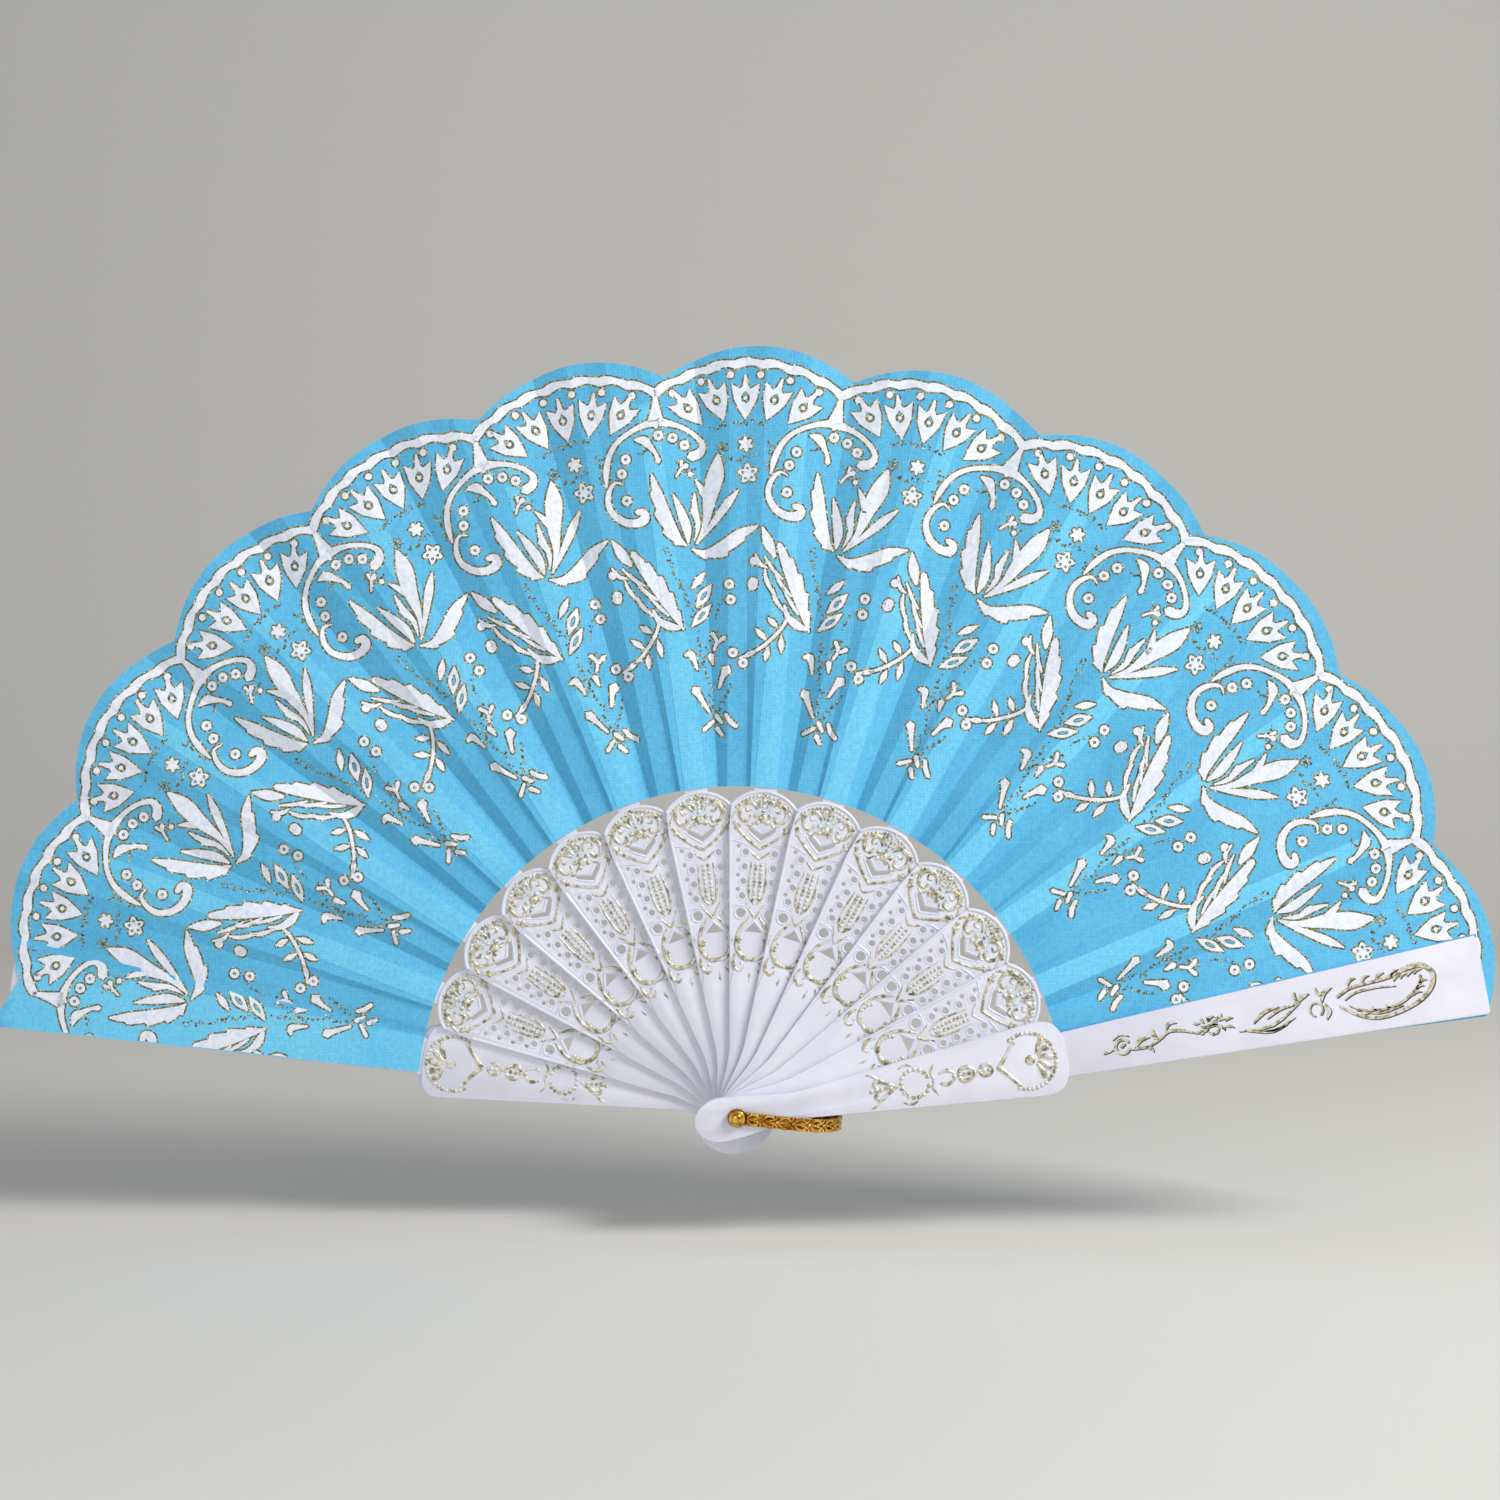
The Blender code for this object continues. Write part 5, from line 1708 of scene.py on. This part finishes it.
cosine = add(bend, "ShaderNodeMath", {0: u_turn}, operation="COSINE")
bent_x = add(bend, "ShaderNodeMath", {0: out_from_middle, 1: sine, 2: straight}, operation="MULTIPLY_ADD")
bent_out = add(bend, "ShaderNodeMath", {0: out_from_middle, 1: cosine}, operation="MULTIPLY")
bent_y = add(bend, "ShaderNodeMath", {0: bent_out, 1: -1.0}, operation="MULTIPLY")
bent = add(bend, "ShaderNodeCombineXYZ", {"X": bent_x, "Y": bent_y, "Z": at.outputs["Y"]})
close_tree(
    bend, add(bend, "GeometryNodeSetPosition", {"Geometry": given.outputs[0], "Position": bent}),
    given.outputs["Material"]
)


def bent_round(mesh, material):
    """The flat mesh, cut across at even steps so that it can bend, bent and turned down with the bail."""
    shape = bmesh.new()
    shape.from_mesh(mesh)
    for x in np.arange(BEND_AT, strap_length - BEND_AT + 0.1, 1.4):
        everything = shape.verts[:] + shape.edges[:] + shape.faces[:]
        bmesh.ops.bisect_plane(shape, geom=everything, plane_co=(x * MM, 0, 0), plane_no=(1, 0, 0), dist=1e-7)
    shape.to_mesh(mesh)
    shape.free()
    sizes = {"Bend At": BEND_AT * MM, "Radius": BEND_RADIUS * MM, "Material": material}
    result = run_tree(bpy.data.objects.new("strap", mesh), bend, sizes)
    result.transform(Matrix.Rotation(math.radians(6.0), 4, "Y"))
    return tidy(result, crease=40)


# %% The bail's strap and its chasing
EYE, STRAP_HALF = 2.6, 1.75
near_eye = [
    (EYE * math.cos(t), EYE * math.sin(t)) for t in np.linspace(math.pi, math.asin(STRAP_HALF / EYE), 14)
]
near_eye[0] = (-EYE, 0.0)
far_eye = [(strap_length - x, y) for x, y in reversed(near_eye)]
strap = pierced_plate(
    mirrored(near_eye + far_eye),
    [ellipse((0, 0), 1.62, sides=24), ellipse((strap_length, 0), 1.62, sides=24)], -0.45, 0.45, 0.14
)

chasing = both_sides([
    (
        [(0.0, 0.2), (0.7, 1.1), (1.9, 1.5), (3.0, 1.0), (2.6, 0.35), (1.8, 0.5)],
        [0.3, 0.7, 0.9, 0.8, 0.6, 0.4]
    ),
    ([(2.9, 0.3), (3.7, 0.9), (4.2, 1.5)], [0.4, 0.6, 0.3]),
])
chasing.append(([(0.2, 0.0), (1.2, 0.0), (2.4, 0.0)], [0.3, 0.8, 0.3]))
repeat_line, given = new_tree(
    "repeat_in_line", {"Count": "Int", "Start": "Float", "Spacing": "Float", "Material": "Material"}
)
start_at = add(repeat_line, "ShaderNodeCombineXYZ", {"X": given.outputs["Start"]})
each_step = add(repeat_line, "ShaderNodeCombineXYZ", {"X": given.outputs["Spacing"]})
stops = add(
    repeat_line, "GeometryNodeMeshLine",
    {"Count": given.outputs["Count"], "Start Location": start_at, "Offset": each_step}, mode="OFFSET"
)
copies = add(repeat_line, "GeometryNodeInstanceOnPoints", {"Points": stops, "Instance": given.outputs[0]})
close_tree(repeat_line, copies, given.outputs["Material"])
one_motif = joined(
    [
        ridges(chasing, brass, 0.42, 0.75, sides=6),
        beads([[(4.0, 0.0), (4.04, 0.0)]], brass, 0.42, 0.1, 0.5, 0.8)
    ]
)
motifs = run_tree(
    bpy.data.objects.new("motif", one_motif), repeat_line,
    {"Count": 15, "Start": 2.9 * MM, "Spacing": 4.5 * MM, "Material": brass}
)
edge_beads = beads(
    [[(3.0, side * 1.62), (strap_length - 3.0, side * 1.62)] for side in (-1, 1)], brass, 0.4, 0.9, 0.3, 0.9
)

tarnished, tree, shader = new_material("gilt_brass_tarnished_ground", Roughness=0.4, Metallic=1.0)
place_on = add(tree, "ShaderNodeTexCoord")
stain = add(tree, "ShaderNodeTexNoise", {"Vector": place_on.outputs["Object"], "Scale": 500.0, "Detail": 2.0})
tree.links.new(
    ramp(tree, stain.outputs["Fac"], [(0.38, "#4A2409"), (0.62, "#A8702A")]), shader.inputs["Base Color"]
)
bail_strap = new_piece("bail_strap", bent_round(strap, tarnished), tarnished)
bail_relief = new_piece("bail_chasing", bent_round(joined([motifs, edge_beads]), brass), brass)

for piece, body, slot in (
    (rivet, "rear_guard", "metal"), (washer, "rear_guard", "metal"), (bail_strap, "bail", "bail"),
    (bail_relief, "bail", "bail")
):
    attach(piece, body)
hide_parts("rivet")
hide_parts("rivet_washer")
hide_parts("bail")
print("metal pieces:", rivet.name, washer.name, bail_strap.name, bail_relief.name)


# %% [markdown]
# ## The leaf's turn shares
# The cloth and its print cross every joint of the fan. The pleating tree stored each point's share of
# the closing turn as "turn_share"; here those shares are read back after each leaf piece's place is
# baked into its mesh, and the frame's own leaf parts are hidden. The shares that
# the pleating tree stored are exact, so they take the place of the blend's own.

# %% Read the leaf's turn shares
leaf_nodes = [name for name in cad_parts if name.startswith("leaf_")]
for piece in leaf_pieces:
    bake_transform(piece)
    shares = np.zeros(len(piece.data.vertices), np.float32)
    piece.data.attributes["turn_share"].data.foreach_get("value", shares)
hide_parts(*leaf_nodes)

# %% [markdown]
# ## The stage
# The fan stands upright over a plain pale floor that curves up into a backdrop, as on a product
# table. A large soft light comes from the upper right and a weaker one fills from the left.

# %% Floor, lights and camera
FLOOR = -36 * MM
FLOOR_FRONT, FLOOR_BACK, BEND, BACKDROP_TOP, HALF_WIDTH = -1.6, 0.95, 0.5, 2.4, 2.5
sweep_profile = [(FLOOR_FRONT, FLOOR), (FLOOR_BACK, FLOOR)]
for step in range(1, 13):
    turn = math.pi / 2 * step / 12
    sweep_profile.append((FLOOR_BACK + BEND * math.sin(turn), FLOOR + BEND * (1 - math.cos(turn))))
sweep_profile.append((FLOOR_BACK + BEND, BACKDROP_TOP))
vertices = [(x, y, z) for y, z in sweep_profile for x in (-HALF_WIDTH, HALF_WIDTH)]
faces = [(2 * i, 2 * i + 1, 2 * i + 3, 2 * i + 2) for i in range(len(sweep_profile) - 1)]
sweep_mesh = bpy.data.meshes.new("studio_sweep")
sweep_mesh.from_pydata(vertices, [], faces)
for face in sweep_mesh.polygons:
    face.use_smooth = True
pale_card, tree, shader = new_material("pale_card", Roughness=0.9)
shader.inputs["Base Color"].default_value = colour("#DEDCD7")
sweep_mesh.materials.append(pale_card)
sweep = bpy.data.objects.new("studio_sweep", sweep_mesh)
bpy.context.scene.collection.objects.link(sweep)


def soft_light(name, place, aim, width, power, tint):
    light = bpy.data.lights.new(name, "AREA")
    light.shape, light.size, light.size_y = "RECTANGLE", width, width * 0.7
    light.energy = power
    light.color = colour(tint)[:3]
    lamp = bpy.data.objects.new(name, light)
    lamp.location = place
    lamp.rotation_euler = (Vector(aim) - Vector(place)).to_track_quat("-Z", "Y").to_euler()
    bpy.context.scene.collection.objects.link(lamp)


soft_light("key_light", (1.0, -0.72, 0.95), (0.05, 0.0, 0.1), 0.6, 18.8, "#FFFDF8")
soft_light("fill_light", (-0.5, -1.3, 0.4), (0.0, 0.0, 0.1), 0.9, 3.4, "#F4F8FF")
world = bpy.data.worlds.new("studio_air")
world.use_nodes = True
world.node_tree.nodes["Background"].inputs["Color"].default_value = colour("#EEF1F6")
world.node_tree.nodes["Background"].inputs["Strength"].default_value = 0.385
bpy.context.scene.world = world

DISTANCE = 0.65
VIEW_WIDTH = 430.5 * MM
VIEW_X, VIEW_Z = 3.7 * MM, 103.6 * MM  # where the view's middle is
camera_data = bpy.data.cameras.new("camera")
camera_data.lens = camera_data.sensor_width * DISTANCE / VIEW_WIDTH
camera = bpy.data.objects.new("camera", camera_data)
camera.location = (VIEW_X, -DISTANCE, VIEW_Z)
camera.rotation_euler = (math.pi / 2, 0.0, 0.0)
bpy.context.scene.collection.objects.link(camera)
bpy.context.scene.camera = camera
bpy.context.scene.view_settings.view_transform = "Standard"
